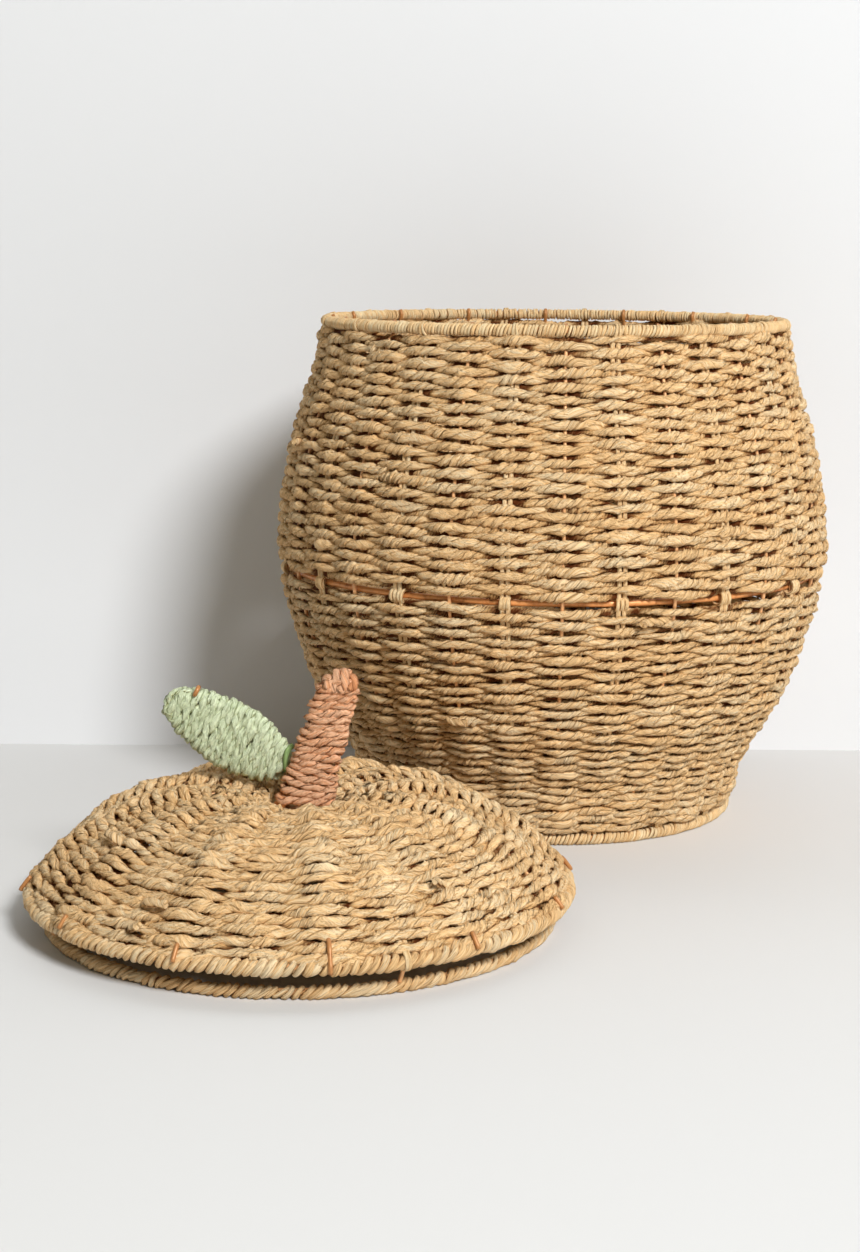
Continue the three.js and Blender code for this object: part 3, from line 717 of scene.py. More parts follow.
class BASKET_OT_walls(BasketOperator, bpy.types.Operator):
    """Weave the upper and lower walls, each in three bands of rows"""
    bl_idname = "basket.walls"
    bl_label = "Woven Walls"

    bands = 3

    def weave(self, scene, name, low, high, rows, crowding, seed):
        sizes, cords = scene.basket_sizes, scene.basket_cords
        line = ProfileLine(WALL_LINE)
        start, end, belly = (line.place_of_height(height) for height in (low, high, sizes.belly_height))
        cord_angle = WIRE_ANGLE + TURN / (2 * sizes.stakes)

        def push(angle, place):
            near = np.cos(sizes.stakes * (angle - cord_angle))
            away = place - belly
            size = LASHING_PUSH * math.copysign(math.exp(-(away / LASHING_REACH) ** 2), away)
            return size * np.exp((near - 1) * LASHING_SHARPNESS)

        slimness = (end - start) / rows / cords.row_pitch
        lay = Lay(line, (0, 0), sizes.stakes, WIRE_ANGLE, depth=cords.row_depth,
                  thick=cords.row_thickness / 2, wide=cords.row_width / 2 * slimness, narrowing=0.24,
                  step=cords.row_step, twist=cords.row_twist,
                  drift=slow_drift(seed, size=0.0005, reach=0.11), push=push)
        shares = ((np.arange(rows) + 0.5) / rows) ** crowding
        strands = woven_rows(lay, start + (end - start) * shares, seed)
        edges = [round(rows * band / self.bands) for band in range(self.bands + 1)]
        for band, (first, last) in enumerate(zip(edges, edges[1:])):
            lay_cords(f"{name}_rows_{band + 1}", "basket", straw_material(scene.basket_colours),
                      [f"{name}_weave"], strands[first:last], TWO_PLY, closed=True, seed=seed + band,
                      crumple=0.12, first_tone=first + seed)

    def build(self, scene):
        sizes = scene.basket_sizes
        # From the middle of a hoop to where its rows end
        base_gap, belly_gap, rim_gap = 0.0056, 0.0032, 0.0038
        self.weave(scene, "lower", sizes.base_height + base_gap, sizes.belly_height - belly_gap,
                   sizes.lower_rows, crowding=1.12, seed=200)
        self.weave(scene, "upper", sizes.belly_height + belly_gap, sizes.rim_height - rim_gap,
                   sizes.upper_rows, crowding=1.0, seed=100)


class BASKET_OT_base(BasketOperator, bpy.types.Operator):
    """Weave the base round its spokes and cover the hub"""
    bl_idname = "basket.base"
    bl_label = "Woven Base"

    def build(self, scene):
        sizes = scene.basket_sizes
        lay = Lay(ProfileLine(BASE_LINE), (0, 0), sizes.stakes // 2, WIRE_ANGLE, depth=0.0019, thick=0.0020,
                  wide=0.0027, narrowing=0.25, step=0.0023, twist=scene.basket_cords.row_twist,
                  drift=slow_drift(31, size=0.0003, reach=0.08))
        outer, inner = 0.1125, 0.0135
        pitch = (outer - inner) / (sizes.base_rows - 1)
        start = BASE_LINE[0][0] - outer
        strands = woven_rows(lay, start + pitch * np.arange(sizes.base_rows), seed=300)
        # Three small rows cover the hub, below and above the spokes
        middle, cover_height = BASE_LINE[0][1], 0.0027
        for height in (middle - cover_height, middle + cover_height):
            cover = lay._replace(line=ProfileLine([(0.013, height), (0.0005, height)]), depth=0, thick=0.0017,
                                 wide=0.0024, drift=no_bend, step=0.0016)
            strands += [woven_row(cover, place, in_front=True, seed=340 + index)
                        for index, place in enumerate((0.0022, 0.0063, 0.0104))]
        lay_cords("base_rows", "basket", straw_material(scene.basket_colours), ["base_weave"],
                  strands, TWO_PLY, closed=True, seed=350, first_tone=350)


# Stakes and hoops

def bend_round(hoop, reach, degrees):
    """Corners of a bend round a hoop's wire, at angles that go from outwards to up."""
    return [(hoop[0] + reach * math.cos(a), hoop[1] + reach * math.sin(a)) for a in np.radians(degrees)]


class BASKET_OT_stakes(BasketOperator, bpy.types.Operator):
    """Set the upright wires, and the doubled cords with their loops over the rim and lashings at the belly"""
    bl_idname = "basket.stakes"
    bl_label = "Stakes"

    # Across and up from the rim hoop's wire, to lie against the inner side of its wrap
    wire_top = ((-0.0029, -0.0045), (-0.0049, -0.0012), (-0.0049, 0.0016), (-0.0036, 0.0038))
    # From the middle of the rim hoop to the cords that loop over it
    loop_reach = 0.0041

    def upright(self, sizes, cords, line, angle, index):
        foot = [(sizes.base_radius, sizes.base_height)]
        top = [(sizes.rim_radius + across, sizes.rim_height + up) for across, up in self.wire_top]
        path = rounded_path(foot + line.corners(0.012, line.length - 0.008, 24) + top, step=0.0034)
        rng = np.random.default_rng(400 + index)
        sway = 0.0007 * np.sin(np.linspace(0, rng.uniform(2, 5), len(path)) + rng.uniform(0, TURN))
        points = around((0, 0), angle + sway / path[:, 0], path[:, 0], path[:, 1])
        radius = cords.wire_diameter / 2
        return open_strand(points, outward(angle, 1, 0), radius, radius)

    def doubled_cord(self, sizes, cords, line, angle, index):
        radius = cords.warp_diameter / 2
        rim = (sizes.rim_radius, sizes.rim_height)
        loop = bend_round(rim, self.loop_reach, [-62, -30, 0, 32, 64, 92])
        tucked_end = [(rim[0] - 0.0012, rim[1] + 0.0022)]
        path = rounded_path(line.corners(0.001, line.length - 0.010, 24) + loop + tucked_end, step=0.0022)
        rng = np.random.default_rng(440 + index)
        lean = rng.uniform(-0.0016, 0.0016)
        over_rim = np.clip((path[:, 1] - (rim[1] - 0.008)) / 0.01, 0, 1)
        strands = []
        for side in (-1, 1):
            ripple = np.sin(np.linspace(0, 14, len(path)) + rng.uniform(0, TURN))
            sway = side * radius * (1.15 + 0.12 * ripple) * (1 - 0.5 * over_rim)
            points = around((0, 0), angle + (sway + lean * over_rim) / path[:, 0], path[:, 0], path[:, 1])
            toward = points - around((0, 0), angle, *rim)
            out = np.where(over_rim[:, None] > 0.3, toward, outward(angle, 1, 0))
            strands.append(open_strand(points, out, radius * (1 - 0.6 * over_rim),
                                       radius * (1.05 - 0.4 * over_rim)))
        return strands + [self.lashing(sizes, angle, rng)]

    def lashing(self, sizes, angle, rng):
        """A few turns of cord round the belly hoop and the doubled cord that crosses it."""
        turns = 4 if rng.uniform() < 0.6 else 3
        rings_per_turn, turn_width = 14, 0.0023
        spin = np.arange(turns * rings_per_turn + 1) / rings_per_turn
        wander = 0.0004 * np.sin(spin * 5.1 + rng.uniform(0, TURN))
        across = (spin / turns - 0.5) * turn_width * turns + wander
        depth, height = 0.0050, 0.0041 * (1 + 0.06 * rng.normal())
        # The cords stand a little outside the hoop
        middle = sizes.belly_radius + 0.0013
        angle = angle + across / sizes.belly_radius
        points = around((0, 0), angle, middle + depth * np.cos(TURN * spin + math.pi),
                        sizes.belly_height + height * signed_power(np.sin(TURN * spin + math.pi), 0.8))
        out = points - around((0, 0), angle, middle, sizes.belly_height)
        return open_strand(points, out, thick=0.0010, wide=0.00125)

    def build(self, scene):
        sizes, cords, colours = scene.basket_sizes, scene.basket_cords, scene.basket_colours
        line = ProfileLine(WALL_LINE)
        # The uprights' tops lie inside the rim's wrap, and are darkened there as painted shade
        paint = wire_material(colours, dark_above=sizes.rim_height - 0.006)
        for index in range(sizes.stakes):
            name = f"{index + 1:02d}"
            angle = WIRE_ANGLE + TURN * index / sizes.stakes
            wire = self.upright(sizes, cords, line, angle, index)
            lay_cords(f"upright_{name}", "basket", paint, [f"upright_wire_{name}"], [wire],
                      ROUND, closed=False, seed=400, crumple=0.0)
            strands = self.doubled_cord(sizes, cords, line, angle + TURN / (2 * sizes.stakes), index)
            lay_cords(f"doubled_cord_{name}", "basket", pale_material(colours),
                      [f"warp_cord_{name}"], strands, ROUND, closed=False, seed=440 + index,
                      first_tone=440 + 3 * index)


def smooth_mesh(name, shape):
    """A smooth mesh of a bmesh shape, which is freed."""
    mesh = bpy.data.meshes.new(name)
    shape.to_mesh(mesh)
    shape.free()
    mesh.shade_smooth()
    return mesh


def smooth_hoop(name, radius, height, half):
    """A round hoop of wire: a circle of vertices spun once round the upright axis."""
    shape = bmesh.new()
    turned = Matrix.Translation((0, -radius, height)) @ Matrix.Rotation(math.pi / 2, 4, "Y")
    ring = bmesh.ops.create_circle(shape, segments=12, radius=half, matrix=turned)["verts"]
    bmesh.ops.spin(shape, geom=ring + list(shape.edges), cent=(0, 0, 0), axis=(0, 0, 1), angle=TURN,
                   steps=240, use_merge=True)
    bmesh.ops.remove_doubles(shape, verts=shape.verts, dist=1e-6)
    bmesh.ops.recalc_face_normals(shape, faces=shape.faces)
    return smooth_mesh(name, shape)


RINGS_PER_TURN = 11


def wound_ring(centre, radius, height, wrap_radius, pitch, slant, thick, seed):
    """Cord wound turn by turn round a hoop, as one closed strand."""
    rng = np.random.default_rng(seed)
    turns = round(TURN * radius / pitch)
    spin = np.arange(turns * RINGS_PER_TURN) / RINGS_PER_TURN

    def by_turn(size):
        values = rng.normal(0, size, turns)
        return np.interp(spin, np.arange(turns + 1), np.r_[values, values[0]])

    round_hoop = TURN * spin - math.pi
    leaning = slant * (1 + by_turn(0.5))
    angle = TURN * spin / turns + (by_turn(pitch * 0.12) + leaning * np.sin(round_hoop)) / radius
    reach = wrap_radius - thick + by_turn(thick * 0.14)
    points = around(centre, angle, radius + reach * np.cos(round_hoop), height + reach * np.sin(round_hoop))
    out = outward(angle, np.cos(round_hoop), np.sin(round_hoop))
    side = np.cross(out, np.roll(points, -1, axis=0) - np.roll(points, 1, axis=0))
    side /= np.linalg.norm(side, axis=1, keepdims=True)
    # A slanted turn is narrower across than its share of the hoop
    wide = pitch * 0.49 / math.hypot(1, slant / wrap_radius)
    flat = np.zeros(len(points))
    return Strand(points, out, side, thick * (1 + by_turn(0.12)), wide * (1 + by_turn(0.13)), flat, flat,
                  thick + flat)


class BASKET_OT_hoops(BasketOperator, bpy.types.Operator):
    """Make the bare belly hoop and wind cord round the rim, base and lid hoops"""
    bl_idname = "basket.hoops"
    bl_label = "Hoops and Wraps"

    def build(self, scene):
        sizes, cords, lid = scene.basket_sizes, scene.basket_cords, scene.basket_lid
        colours = scene.basket_colours
        belly = smooth_hoop("belly_ring", sizes.belly_radius, sizes.belly_height, cords.hoop_diameter / 2)
        add_piece("belly_ring", belly, "basket", hoop_material(colours), ["belly_hoop"])
        pale, dull = pale_material(colours), lid_wrap_material(colours)
        # The hoop's radius and height, the wrap's radius, and the turns' pitch, slant and half thickness
        rim = (sizes.rim_radius, sizes.rim_height, 0.00385, cords.rim_pitch, 0.0005, 0.0010)
        base = (sizes.base_radius, sizes.base_height, 0.0038, cords.base_pitch, 0.0008, 0.0011)
        lid_rim = (lid.rim_radius, lid.rim_height, 0.0046, cords.lid_pitch, 0.0014, 0.0020)
        lid_seat = (lid.seat_radius, lid.seat_height, 0.0039, cords.lid_pitch * 0.9, 0.0026, 0.0020)
        rings = (("rim", "basket", (0, 0), pale, rim), ("base", "basket", (0, 0), pale, base),
                 ("lid_rim", "lid", lid.centre, dull, lid_rim),
                 ("lid_seat", "lid", lid.centre, dull, lid_seat))
        for index, (name, body, centre, material, turns) in enumerate(rings):
            lay_cords(f"{name}_turns", body, material, [f"{name}_wrap"],
                      [wound_ring(centre, *turns, seed=500 + index)], ROUND, closed=True, seed=520 + index,
                      crumple=0.10, first_tone=600 + 500 * index, rings_per_tone=RINGS_PER_TURN)


# Lid

def lid_lobes(lid, line):
    """The dome's lobes: full over the ribs and drawn in between them, most of all halfway up."""
    def relief(angle, place):
        share = np.clip(place / line.length, 0, 1)
        swell = np.sin(np.pi * np.clip((share - 0.02) / 0.86, 0, 1)) ** 0.7
        return -lid.lobe_depth * swell * (1 - np.cos(lid.ribs * (angle - LID_WIRE_ANGLE))) / 2
    return relief


class BASKET_OT_dome(BasketOperator, bpy.types.Operator):
    """Weave the lid's dome"""
    bl_idname = "basket.dome"
    bl_label = "Lid Dome"

    def build(self, scene):
        lid = scene.basket_lid
        line = ProfileLine(LID_LINE)
        lay = Lay(line, tuple(lid.centre), lid.ribs, LID_WIRE_ANGLE, depth=0.0025, thick=0.0022, wide=0.0036,
                  narrowing=0.32, step=scene.basket_cords.row_step, twist=0.0175,
                  drift=slow_drift(41, size=0.0007, reach=0.07), relief=lid_lobes(lid, line))
        start, end = 0.0030, line.length - 0.0052
        pitch = (end - start) / (lid.rows - 1)
        strands = woven_rows(lay, start + pitch * np.arange(lid.rows), seed=700)
        half = lid.rows * 2 // 5
        for part, (first, last) in enumerate(((0, half), (half, lid.rows))):
            lay_cords(f"dome_rows_{part + 1}", "lid", straw_material(scene.basket_colours),
                      ["lid_weave"], strands[first:last], TWO_PLY, closed=True, seed=760 + part, crumple=0.12,
                      first_tone=700 + first)


class BASKET_OT_lid_stakes(BasketOperator, bpy.types.Operator):
    """Add the lid's doubled cords, and the wire ends that are bent over its rim"""
    bl_idname = "basket.lid_stakes"
    bl_label = "Lid Stakes"

    wrap_radius = 0.0046
    # Outside this radius the dome's cords bend down round the rim
    bend_radius = 0.143

    def doubled_cord(self, centre, rim, path, angle, lean, radius):
        past = path[:, 0] - self.bend_radius
        over_rim, flat = np.clip(past / 0.008, 0, 1), np.clip(past / 0.006, 0, 1)
        hoop = around(centre, angle, *rim)
        for side in (-1, 1):
            sway = side * radius * (1.05 - 0.45 * over_rim) + lean * over_rim
            points = around(centre, angle + sway / np.maximum(path[:, 0], 0.02), path[:, 0], path[:, 1])
            out = points - np.where(past[:, None] > 0, hoop, hoop - (0, 0, 0.02))
            yield open_strand(points, out, radius * (1 - 0.65 * flat), radius * (1.05 - 0.35 * flat))

    def wire_end(self, centre, rim, angle, lean, radius, index):
        # One end comes far out from under the last row, the others hardly show
        seen, turn = [(0.1486, 0.0283)], [50, 30, 12][:2 + index % 2]
        if index == 0:
            seen, turn = [(0.1425, 0.0325), (0.1462, 0.0318), (0.1492, 0.0290)], [46, 24, 2, -18]
        bend = bend_round(rim, self.wrap_radius + radius * 0.7, turn)
        hook = rounded_path(seen + [(0.1506, 0.0262)] + bend, step=0.0016)
        points = around(centre, angle + lean, hook[:, 0], hook[:, 1])
        return open_strand(points, points - around(centre, angle, rim[0] - 0.012, rim[1]), radius, radius)

    def build(self, scene):
        lid, cords, colours = scene.basket_lid, scene.basket_cords, scene.basket_colours
        centre, rim = tuple(lid.centre), (lid.rim_radius, lid.rim_height)
        line = ProfileLine(LID_LINE)
        places = np.linspace(0.012, line.length - 0.012, 30)
        radius, height, out_r, out_z = line.at(places)
        cord_strands, wire_strands = [], []
        for index in range(lid.ribs):
            rng = np.random.default_rng(800 + index)
            wire_angle = LID_WIRE_ANGLE + TURN * index / lid.ribs
            angle = wire_angle + math.pi / lid.ribs
            drop = lid_lobes(lid, line)(angle, places)
            dome = list(zip(radius + out_r * drop, height + out_z * drop))[::-1]
            # Only every third pair shows where it goes round the rim
            turn = [74, 40, 8, -26, -60, -96, -130][:7 if index % 3 == 0 else 1]
            path = rounded_path(dome + bend_round(rim, self.wrap_radius, turn), step=0.0024)
            cord_strands += self.doubled_cord(centre, rim, path, angle, rng.uniform(-0.0015, 0.0015),
                                              cords.warp_diameter / 2)
            wire_strands.append(self.wire_end(centre, rim, wire_angle, rng.uniform(-0.004, 0.004),
                                              cords.wire_diameter / 2, index))
        lay_cords("lid_doubled_cords", "lid", pale_material(colours), (), cord_strands, ROUND,
                  closed=False, seed=830, first_tone=830)
        lay_cords("lid_wire_ends", "lid", bent_wire_material(colours), (), wire_strands,
                  ROUND, closed=False, seed=860, crumple=0.0)


# Stem and leaf

def handle_frame(foot, across_way, along_way):
    """A function that turns sizes across, through and along a stem or leaf into points, or with a foot of 0
    into directions. The two ways give x and z; the depth goes straight back."""
    def place(across, depth, along, foot=foot):
        across, depth, along = np.broadcast_arrays(across, depth, along)
        x, z = (across * a + along * b for a, b in zip(across_way, along_way))
        return np.stack([x, depth, z], axis=-1) + foot
    return place


def flat_winding(place, turns, start, end, half_width, half_depth, slant, thick, wide, seed):
    """A cord wound flat round two wires: front and back crossings joined by bulging bends at the sides."""
    rng = np.random.default_rng(seed)
    per_turn = 72
    spin = np.arange(turns * per_turn + 1) / per_turn

    def by_turn(size):
        return np.interp(spin, np.arange(turns + 1), rng.normal(0, size, turns + 1))

    height = (end - start) * spin / turns + by_turn(0.0003)
    turn = TURN * spin + math.pi
    half = half_width(height + start) - thick + by_turn(0.0005)
    across = half * signed_power(np.cos(turn), 0.62)
    depth = -(half_depth - thick + by_turn(0.0003)) * signed_power(np.sin(turn), 0.72)
    wander = 0.0004 * np.sin(spin * 23.7 + rng.uniform(0, TURN)) + 0.0003 * np.sin(spin * 41.3)
    points = place(across, depth, height + slant(height) * across + wander + start)
    out = place(np.cos(turn) / half, -np.sin(turn) / half_depth, 0, foot=0)
    # The cord bulges at the bends
    bend = np.abs(np.cos(turn)) ** 5
    thick = thick * (1 + by_turn(0.08)) * (1 + 0.22 * bend)
    wide = wide * (1 + by_turn(0.07)) * (1 - 0.10 * bend)
    points, out, thick, wide = evenly(0.0017, points, out, thick, wide)
    strand = open_strand(points, out, thick=1.0, wide=1.0, twist=-0.0165)
    swing = np.cumsum(rng.normal(0, 0.16, len(points)))
    return strand._replace(thick=thick, wide=wide, reach=thick, tilt=strand.tilt + swing)


class BASKET_OT_stem(BasketOperator, bpy.types.Operator):
    """Wind the stem and lay the knotty turns over its top"""
    bl_idname = "basket.stem"
    bl_label = "Stem"

    def build(self, scene):
        handle = scene.basket_handle
        lean = handle.stem_shift / handle.stem_length
        place = handle_frame(np.array(handle.stem_foot), (1, 0), (lean, 1))

        def half_width(height):
            share = np.clip(height / handle.stem_length, 0, 1)
            base, top = handle.stem_base_width, handle.stem_top_width
            shoulder = 1 - 0.16 * np.clip((share - 0.8) / 0.2, 0, 1) ** 2
            return (base + (top - base) * share ** 0.8) / 2 * shoulder + 0.0005 * np.sin(share * 17)

        def slant(height):
            return -0.28 * np.exp(-((height - 0.017) / 0.009) ** 2) + 0.02

        start, end = -0.0012, handle.stem_length - 0.004
        pitch = (end - start) / handle.stem_turns
        strands = [flat_winding(place, handle.stem_turns, start, end, half_width, half_depth=0.0066,
                                slant=slant, thick=0.0023, wide=pitch * 0.68, seed=900)]
        # Turns over the top, from the front to the back
        rng = np.random.default_rng(905)
        arc = np.linspace(-0.5, math.pi + 0.5, 15)
        for across in (-0.0061, -0.0020, 0.0021, 0.0060):
            rise = 0.0074 - 95 * across ** 2 + rng.normal(0, 0.0004)
            slope = rng.uniform(-0.002, 0.002)
            points = place(across + slope * np.cos(arc), -0.0043 * np.cos(arc),
                           end - 0.0022 + rise * np.sin(arc))
            strands.append(open_strand(points, points - place(across, 0, end - 0.004), thick=0.0023,
                                       wide=0.0031 * (1 + 0.08 * rng.normal()), twist=-0.02))
        lay_cords("stem_turns", "lid", stem_material(scene.basket_colours), ["stem_winding"],
                  strands, FULL_PLY, closed=False, seed=910, crumple=0.12, first_tone=2600)


class BASKET_OT_leaf(BasketOperator, bpy.types.Operator):
    """Wind the leaf and tie its stalk"""
    bl_idname = "basket.leaf"
    bl_label = "Leaf"

    # Across, through and along the leaf: the tie's end shows beside the stem, and the leaf wire's end is bent
    # over the edge near the tip
    tie_end = ((0.0000, -0.0045, -0.0010), (0.0040, -0.0060, 0.0015), (0.0080, -0.0062, 0.0035),
               (0.0112, -0.0050, 0.0040), (0.0135, -0.0020, 0.0030))
    wire_end = ((0.0096, -0.0044, 0.0642), (0.0113, -0.0064, 0.0643), (0.0132, -0.0064, 0.0645),
                (0.0148, -0.0040, 0.0647))

    def end_strand(self, place, corners, thick, wide):
        points = rounded_path(place(*np.transpose(corners)), step=0.0014)
        return open_strand(points, (0.0, -1.0, 0.0), thick, wide)

    def build(self, scene):
        handle, colours = scene.basket_handle, scene.basket_colours
        place = handle_frame(np.array(handle.leaf_foot), (0.527, 0.850), (-0.850, 0.527))

        def half_width(height):
            share = np.clip(height / handle.leaf_length, 0, 1)
            swell = np.sin(np.pi * (0.09 + 0.84 * share) ** 0.95) ** 0.85
            return 0.0030 + (handle.leaf_width / 2 - 0.0042) * swell

        pitch = handle.leaf_length / handle.leaf_turns
        strands = [flat_winding(place, handle.leaf_turns, 0, handle.leaf_length - 0.0044, half_width,
                                half_depth=0.0055, slant=lambda height: -0.10, thick=0.0020,
                                wide=pitch * 0.70, seed=920)]
        # Two short turns lie round the tip
        edge = np.linspace(-1.9, 1.9, 15)
        tip = handle.leaf_length - 0.0100
        for reach, depth in ((0.0092, -0.0020), (0.0086, 0.0020)):
            points = place(reach * np.sin(edge), depth, tip + reach * np.cos(edge))
            out = points - place(0, 0.3 * depth, tip)
            strands.append(open_strand(points, out, thick=0.0022, wide=0.0026, twist=-0.018))
        lay_cords("leaf_turns", "lid", leaf_material(colours), ["leaf_winding"], strands,
                  FULL_PLY, closed=False, seed=930, crumple=0.12, first_tone=2700)
        lay_cords("leaf_wire_end", "lid", bent_wire_material(colours), (),
                  [self.end_strand(place, self.wire_end, thick=0.0013, wide=0.0013)],
                  ROUND, closed=False, seed=950, crumple=0.0)

        # Three turns tie the stalk
        spin = np.linspace(0, 3, 43)
        reach, down = 0.0026, -0.0020 - 0.0021 * spin
        points = place(reach * np.cos(TURN * spin), reach * np.sin(TURN * spin), down)
        knot = open_strand(points, points - place(0, 0, down), thick=0.0012, wide=0.0013)
        lay_cords("leaf_knot", "lid", tie_material(colours), ["leaf_tie"],
                  [knot, self.end_strand(place, self.tie_end, thick=0.0012, wide=0.0016)],
                  ROUND, closed=False, seed=940, first_tone=2800)


class BASKET_OT_loose_ends(BasketOperator, bpy.types.Operator):
    """Let a few cut ends of cord stand out of the weave"""
    bl_idname = "basket.loose_ends"
    bl_label = "Loose Ends"

    # Along the row and out of the cloth
    curled = ((-0.0200, -0.0010), (-0.0130, 0.0040), (-0.0060, 0.0055), (-0.0010, 0.0062), (0.0008, 0.0095))
    short = ((-0.0060, -0.0010), (-0.0030, 0.0030), (0.0000, 0.0056), (0.0026, 0.0072), (0.0042, 0.0090))
    flat = ((-0.0070, 0.0005), (-0.0030, 0.0042), (0.0010, 0.0052), (0.0052, 0.0048), (0.0080, 0.0052))
    # Height on the wall or distance up the dome, degrees round, the end's form, and the side it points to
    wall_ends = ((0.1527, 14.6, curled, -1), (0.245, -72, short, 1), (0.086, -24, flat, 1),
                 (0.212, 118, short, -1), (0.120, 163, flat, 1), (0.274, -151, flat, -1))
    lid_ends = ((0.0542, -58, flat, -1), (0.0120, -31.5, short, 1), (0.0355, 36.5, short, -1),
                (0.0262, -30, flat, 1), (0.0400, 149, flat, 1))

    def loose_end(self, line, centre, place, degrees, form, side):
        radius, height, out_r, out_z = (float(v) for v in line.at(place))
        angle = math.radians(degrees)
        path = rounded_path(form, step=0.0013)
        along, out = path[:, 0] * side, path[:, 1]
        points = around(centre, angle + along / radius, radius + out_r * out, height + out_z * out)
        normal = outward(angle, out_r, out_z) + 0.3 * outward(angle, 0, 1)
        return open_strand(points, normal, thick=0.0022, wide=0.0026, twist=0.013)

    def build(self, scene):
        wall = ProfileLine(WALL_LINE)
        wall_ends = [(wall.place_of_height(height), *rest) for height, *rest in self.wall_ends]
        dome, centre = ProfileLine(LID_LINE), scene.basket_lid.centre
        for name, body, line, centre, ends, seed in (
                ("wall_loose_ends", "basket", wall, (0, 0), wall_ends, 1100),
                ("lid_loose_ends", "lid", dome, centre, self.lid_ends, 1120)):
            strands = [self.loose_end(line, centre, *end) for end in ends]
            lay_cords(name, body, straw_material(scene.basket_colours), (), strands, FULL_PLY,
                      closed=False, seed=seed, crumple=0.10, first_tone=seed)


class BASKET_OT_frame(BasketOperator, bpy.types.Operator):
    """Paint the wires that keep the shape of the model they come from"""
    bl_idname = "basket.wire_frame"
    bl_label = "Wire Frame"

    def build(self, scene):
        names = ["rim_hoop", "base_hoop", "base_spokes", "lid_rim_hoop", "lid_seat_hoop", "lid_ribs",
                 "stem_frame", "leaf_frame"] + [f"lid_drop_wire_{index + 1:02d}" for index in range(4)]
        # The coat of the upright wires, which are made first and bent over the rim where it is darkened as
        # painted shade
        coat = wire_material(scene.basket_colours)
        for name in names:
            mesh = frame["nodes"][name].data
            mesh.materials.clear()
            mesh.materials.append(coat)


# Room, light and camera

def stage_material(name, base, clear_behind):
    """Matt paper in one pale colour. Where it is clear from behind, it hides nothing from there."""
    material, tree, shader = plain_material(name)
    place = add_node(tree, "TexCoord").outputs["Object"]
    cloud = noise(tree, place, scale=1.4, detail=2)
    shade = mix_colours(tree, cloud, toned(base, (0.985, 0.985, 0.98)), toned(base, (1, 1, 1)))
    tree.links.new(shade, shader.inputs["Base Color"])
    shader.inputs["Roughness"].default_value = 0.9
    shader.inputs["Specular IOR Level"].default_value = 0.1
    if clear_behind:
        clear = add_node(tree, "BsdfTransparent")
        behind = add_node(tree, "NewGeometry").outputs["Backfacing"]
        choice = add_node(tree, "MixShader", {0: behind, 1: shader.outputs[0], 2: clear.outputs[0]})
        tree.links.new(choice.outputs[0], tree.nodes["Material Output"].inputs["Surface"])
    return material


def place_in_room(scene, name, data):
    piece = bpy.data.objects.new(name, data)
    scene.collection.objects.link(piece)
    return piece


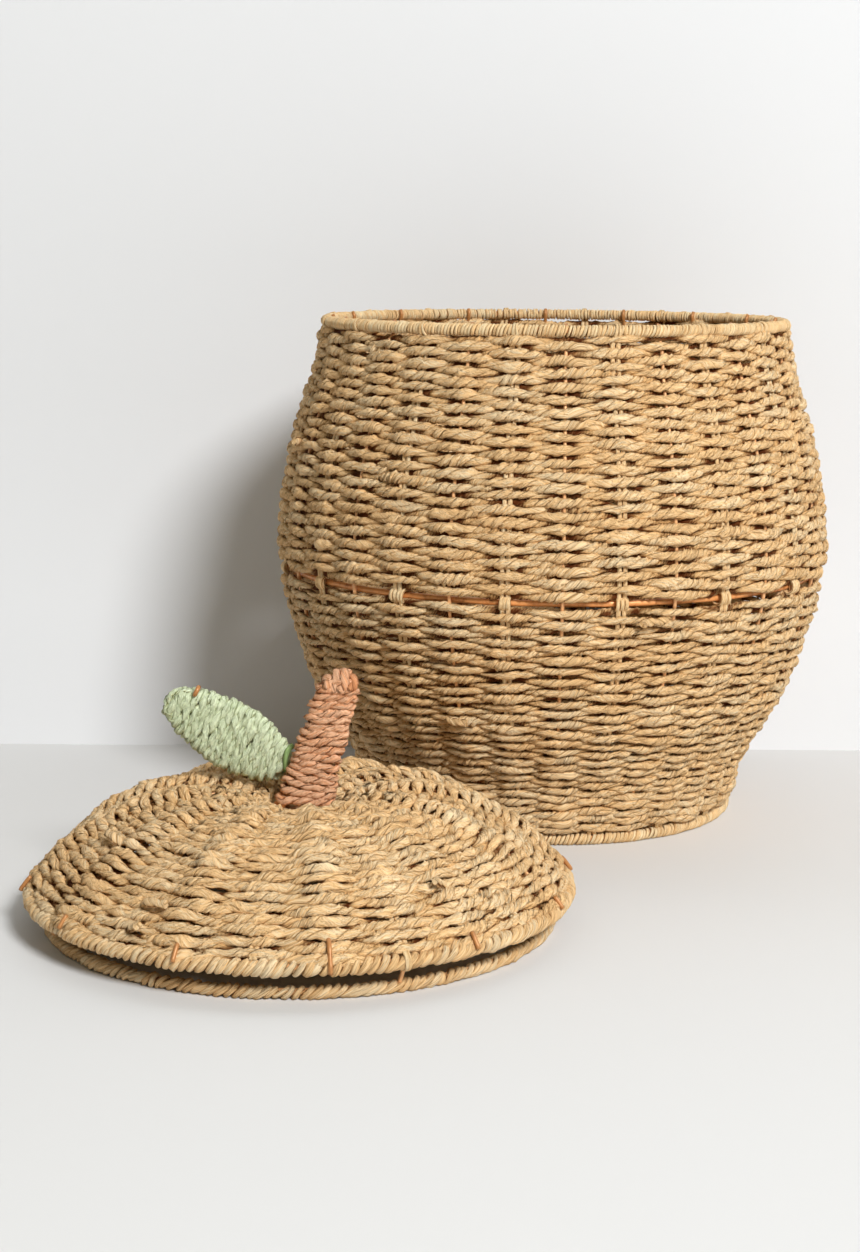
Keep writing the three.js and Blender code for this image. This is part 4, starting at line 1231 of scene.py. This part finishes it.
class BASKET_OT_stage(BasketOperator, bpy.types.Operator):
    """Lay the floor, hang the backdrop and set the lamp and the camera"""
    bl_idname = "basket.stage"
    bl_label = "Stage"

    # The camera was solved from the photo, so its focal length is in pixels of the photo's 1252 rows
    photo_rows, focal_pixels = 1252, 2202.4
    camera_place = (-0.0799, -1.4585, 0.3740)
    camera_down, camera_roll = 0.1738, 0.0079

    def sheet(self, scene, name, corners, material):
        """A sheet of paper: a line of corners (y, z), swept from the left to the right."""
        shape = bmesh.new()
        half = 4.0
        verts = [shape.verts.new((-half, y, z)) for y, z in corners]
        edges = [shape.edges.new(pair) for pair in zip(verts, verts[1:])]
        moved = bmesh.ops.extrude_edge_only(shape, edges=edges)["geom"]
        moved = [part for part in moved if isinstance(part, bmesh.types.BMVert)]
        bmesh.ops.translate(shape, verts=moved, vec=(2 * half, 0, 0))
        mesh = smooth_mesh(name, shape)
        mesh.materials.append(material)
        place_in_room(scene, name, mesh)

    def lamp(self, scene, name, place, target, size, watts, tint):
        lamp = bpy.data.lights.new(name, "AREA")
        lamp.shape = "DISK"
        lamp.size = size
        lamp.energy = watts
        lamp.color = tint
        holder = place_in_room(scene, name, lamp)
        holder.location = place
        holder.rotation_euler = (Vector(target) - Vector(place)).to_track_quat("-Z", "Y").to_euler()

    def build(self, scene):
        colours = scene.basket_colours
        floor = stage_material("floor_paper", colours.floor, clear_behind=False)
        wall = stage_material("wall_paper", colours.wall, clear_behind=True)
        self.sheet(scene, "floor", [(-5.0, 0.0), (3.0, 0.0)], floor)
        # The backdrop leans back from its foot in one soft bend
        heights = np.linspace(-0.0005, 0.30, 61)
        bend = np.interp(np.add.outer(heights, np.linspace(-0.04, 0.04, 17)),
                         [-0.05, 0.0, 0.06, 0.14, 0.22], [0.138, 0.148, 0.160, 0.186, 0.195]).mean(axis=1)
        self.sheet(scene, "wall", [*zip(bend, heights), (0.195, 3.0)], wall)
        self.lamp(scene, "key", place=(1.483, -3.108, 2.618), target=(-0.05, -0.1, 0.12), size=1.2, watts=182,
                  tint=(0.97, 0.99, 1.0))
        world = bpy.data.worlds.new("room")
        world.use_nodes = True
        light = world.node_tree.nodes["Background"].inputs
        light["Color"].default_value = (1.0, 0.95, 0.69, 1)
        light["Strength"].default_value = 0.163
        scene.world = world

        data = bpy.data.cameras.new("camera")
        data.sensor_width = 36
        data.lens = data.sensor_width * self.focal_pixels / self.photo_rows
        data.clip_start, data.clip_end = 0.05, 50
        camera = place_in_room(scene, "camera", data)
        camera.matrix_world = (Matrix.Translation(self.camera_place)
                               @ Matrix.Rotation(math.pi / 2 - self.camera_down, 4, "X")
                               @ Matrix.Rotation(self.camera_roll, 4, "Z"))
        scene.camera = camera
        scene.view_settings.view_transform = "Standard"


OPERATORS = (BASKET_OT_walls, BASKET_OT_base, BASKET_OT_stakes, BASKET_OT_hoops, BASKET_OT_dome,
             BASKET_OT_lid_stakes, BASKET_OT_stem, BASKET_OT_leaf, BASKET_OT_loose_ends, BASKET_OT_frame,
             BASKET_OT_stage)
GROUPS = {"basket_sizes": BasketSizes, "basket_cords": CordSizes, "basket_lid": LidSizes,
          "basket_handle": HandleSizes, "basket_colours": BasketColours}


class VIEW3D_PT_basket(bpy.types.Panel):
    """Lists the basket's sizes, its colours and the steps that make it"""
    bl_label = "Straw Basket"
    bl_idname = "VIEW3D_PT_basket"
    bl_space_type = "VIEW_3D"
    bl_region_type = "UI"
    bl_category = "Basket"

    def draw(self, context):
        for group in GROUPS:
            box = self.layout.box()
            values = getattr(context.scene, group)
            for key in values.bl_rna.properties.keys():
                if key not in {"rna_type", "name"}:
                    box.prop(values, key)
        for operator in OPERATORS:
            self.layout.operator(operator.bl_idname)


CLASSES = (*GROUPS.values(), *OPERATORS, VIEW3D_PT_basket)


def register():
    for item in CLASSES:
        bpy.utils.register_class(item)
    for name, group in GROUPS.items():
        setattr(bpy.types.Scene, name, PointerProperty(type=group))


def unregister():
    for name in GROUPS:
        delattr(bpy.types.Scene, name)
    for item in reversed(CLASSES):
        bpy.utils.unregister_class(item)


def main():
    """Make the basket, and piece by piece."""
    register()
    for operator in OPERATORS:
        group, name = operator.bl_idname.split(".")
        getattr(getattr(bpy.ops, group), name)()


if __name__ == "__main__":
    main()
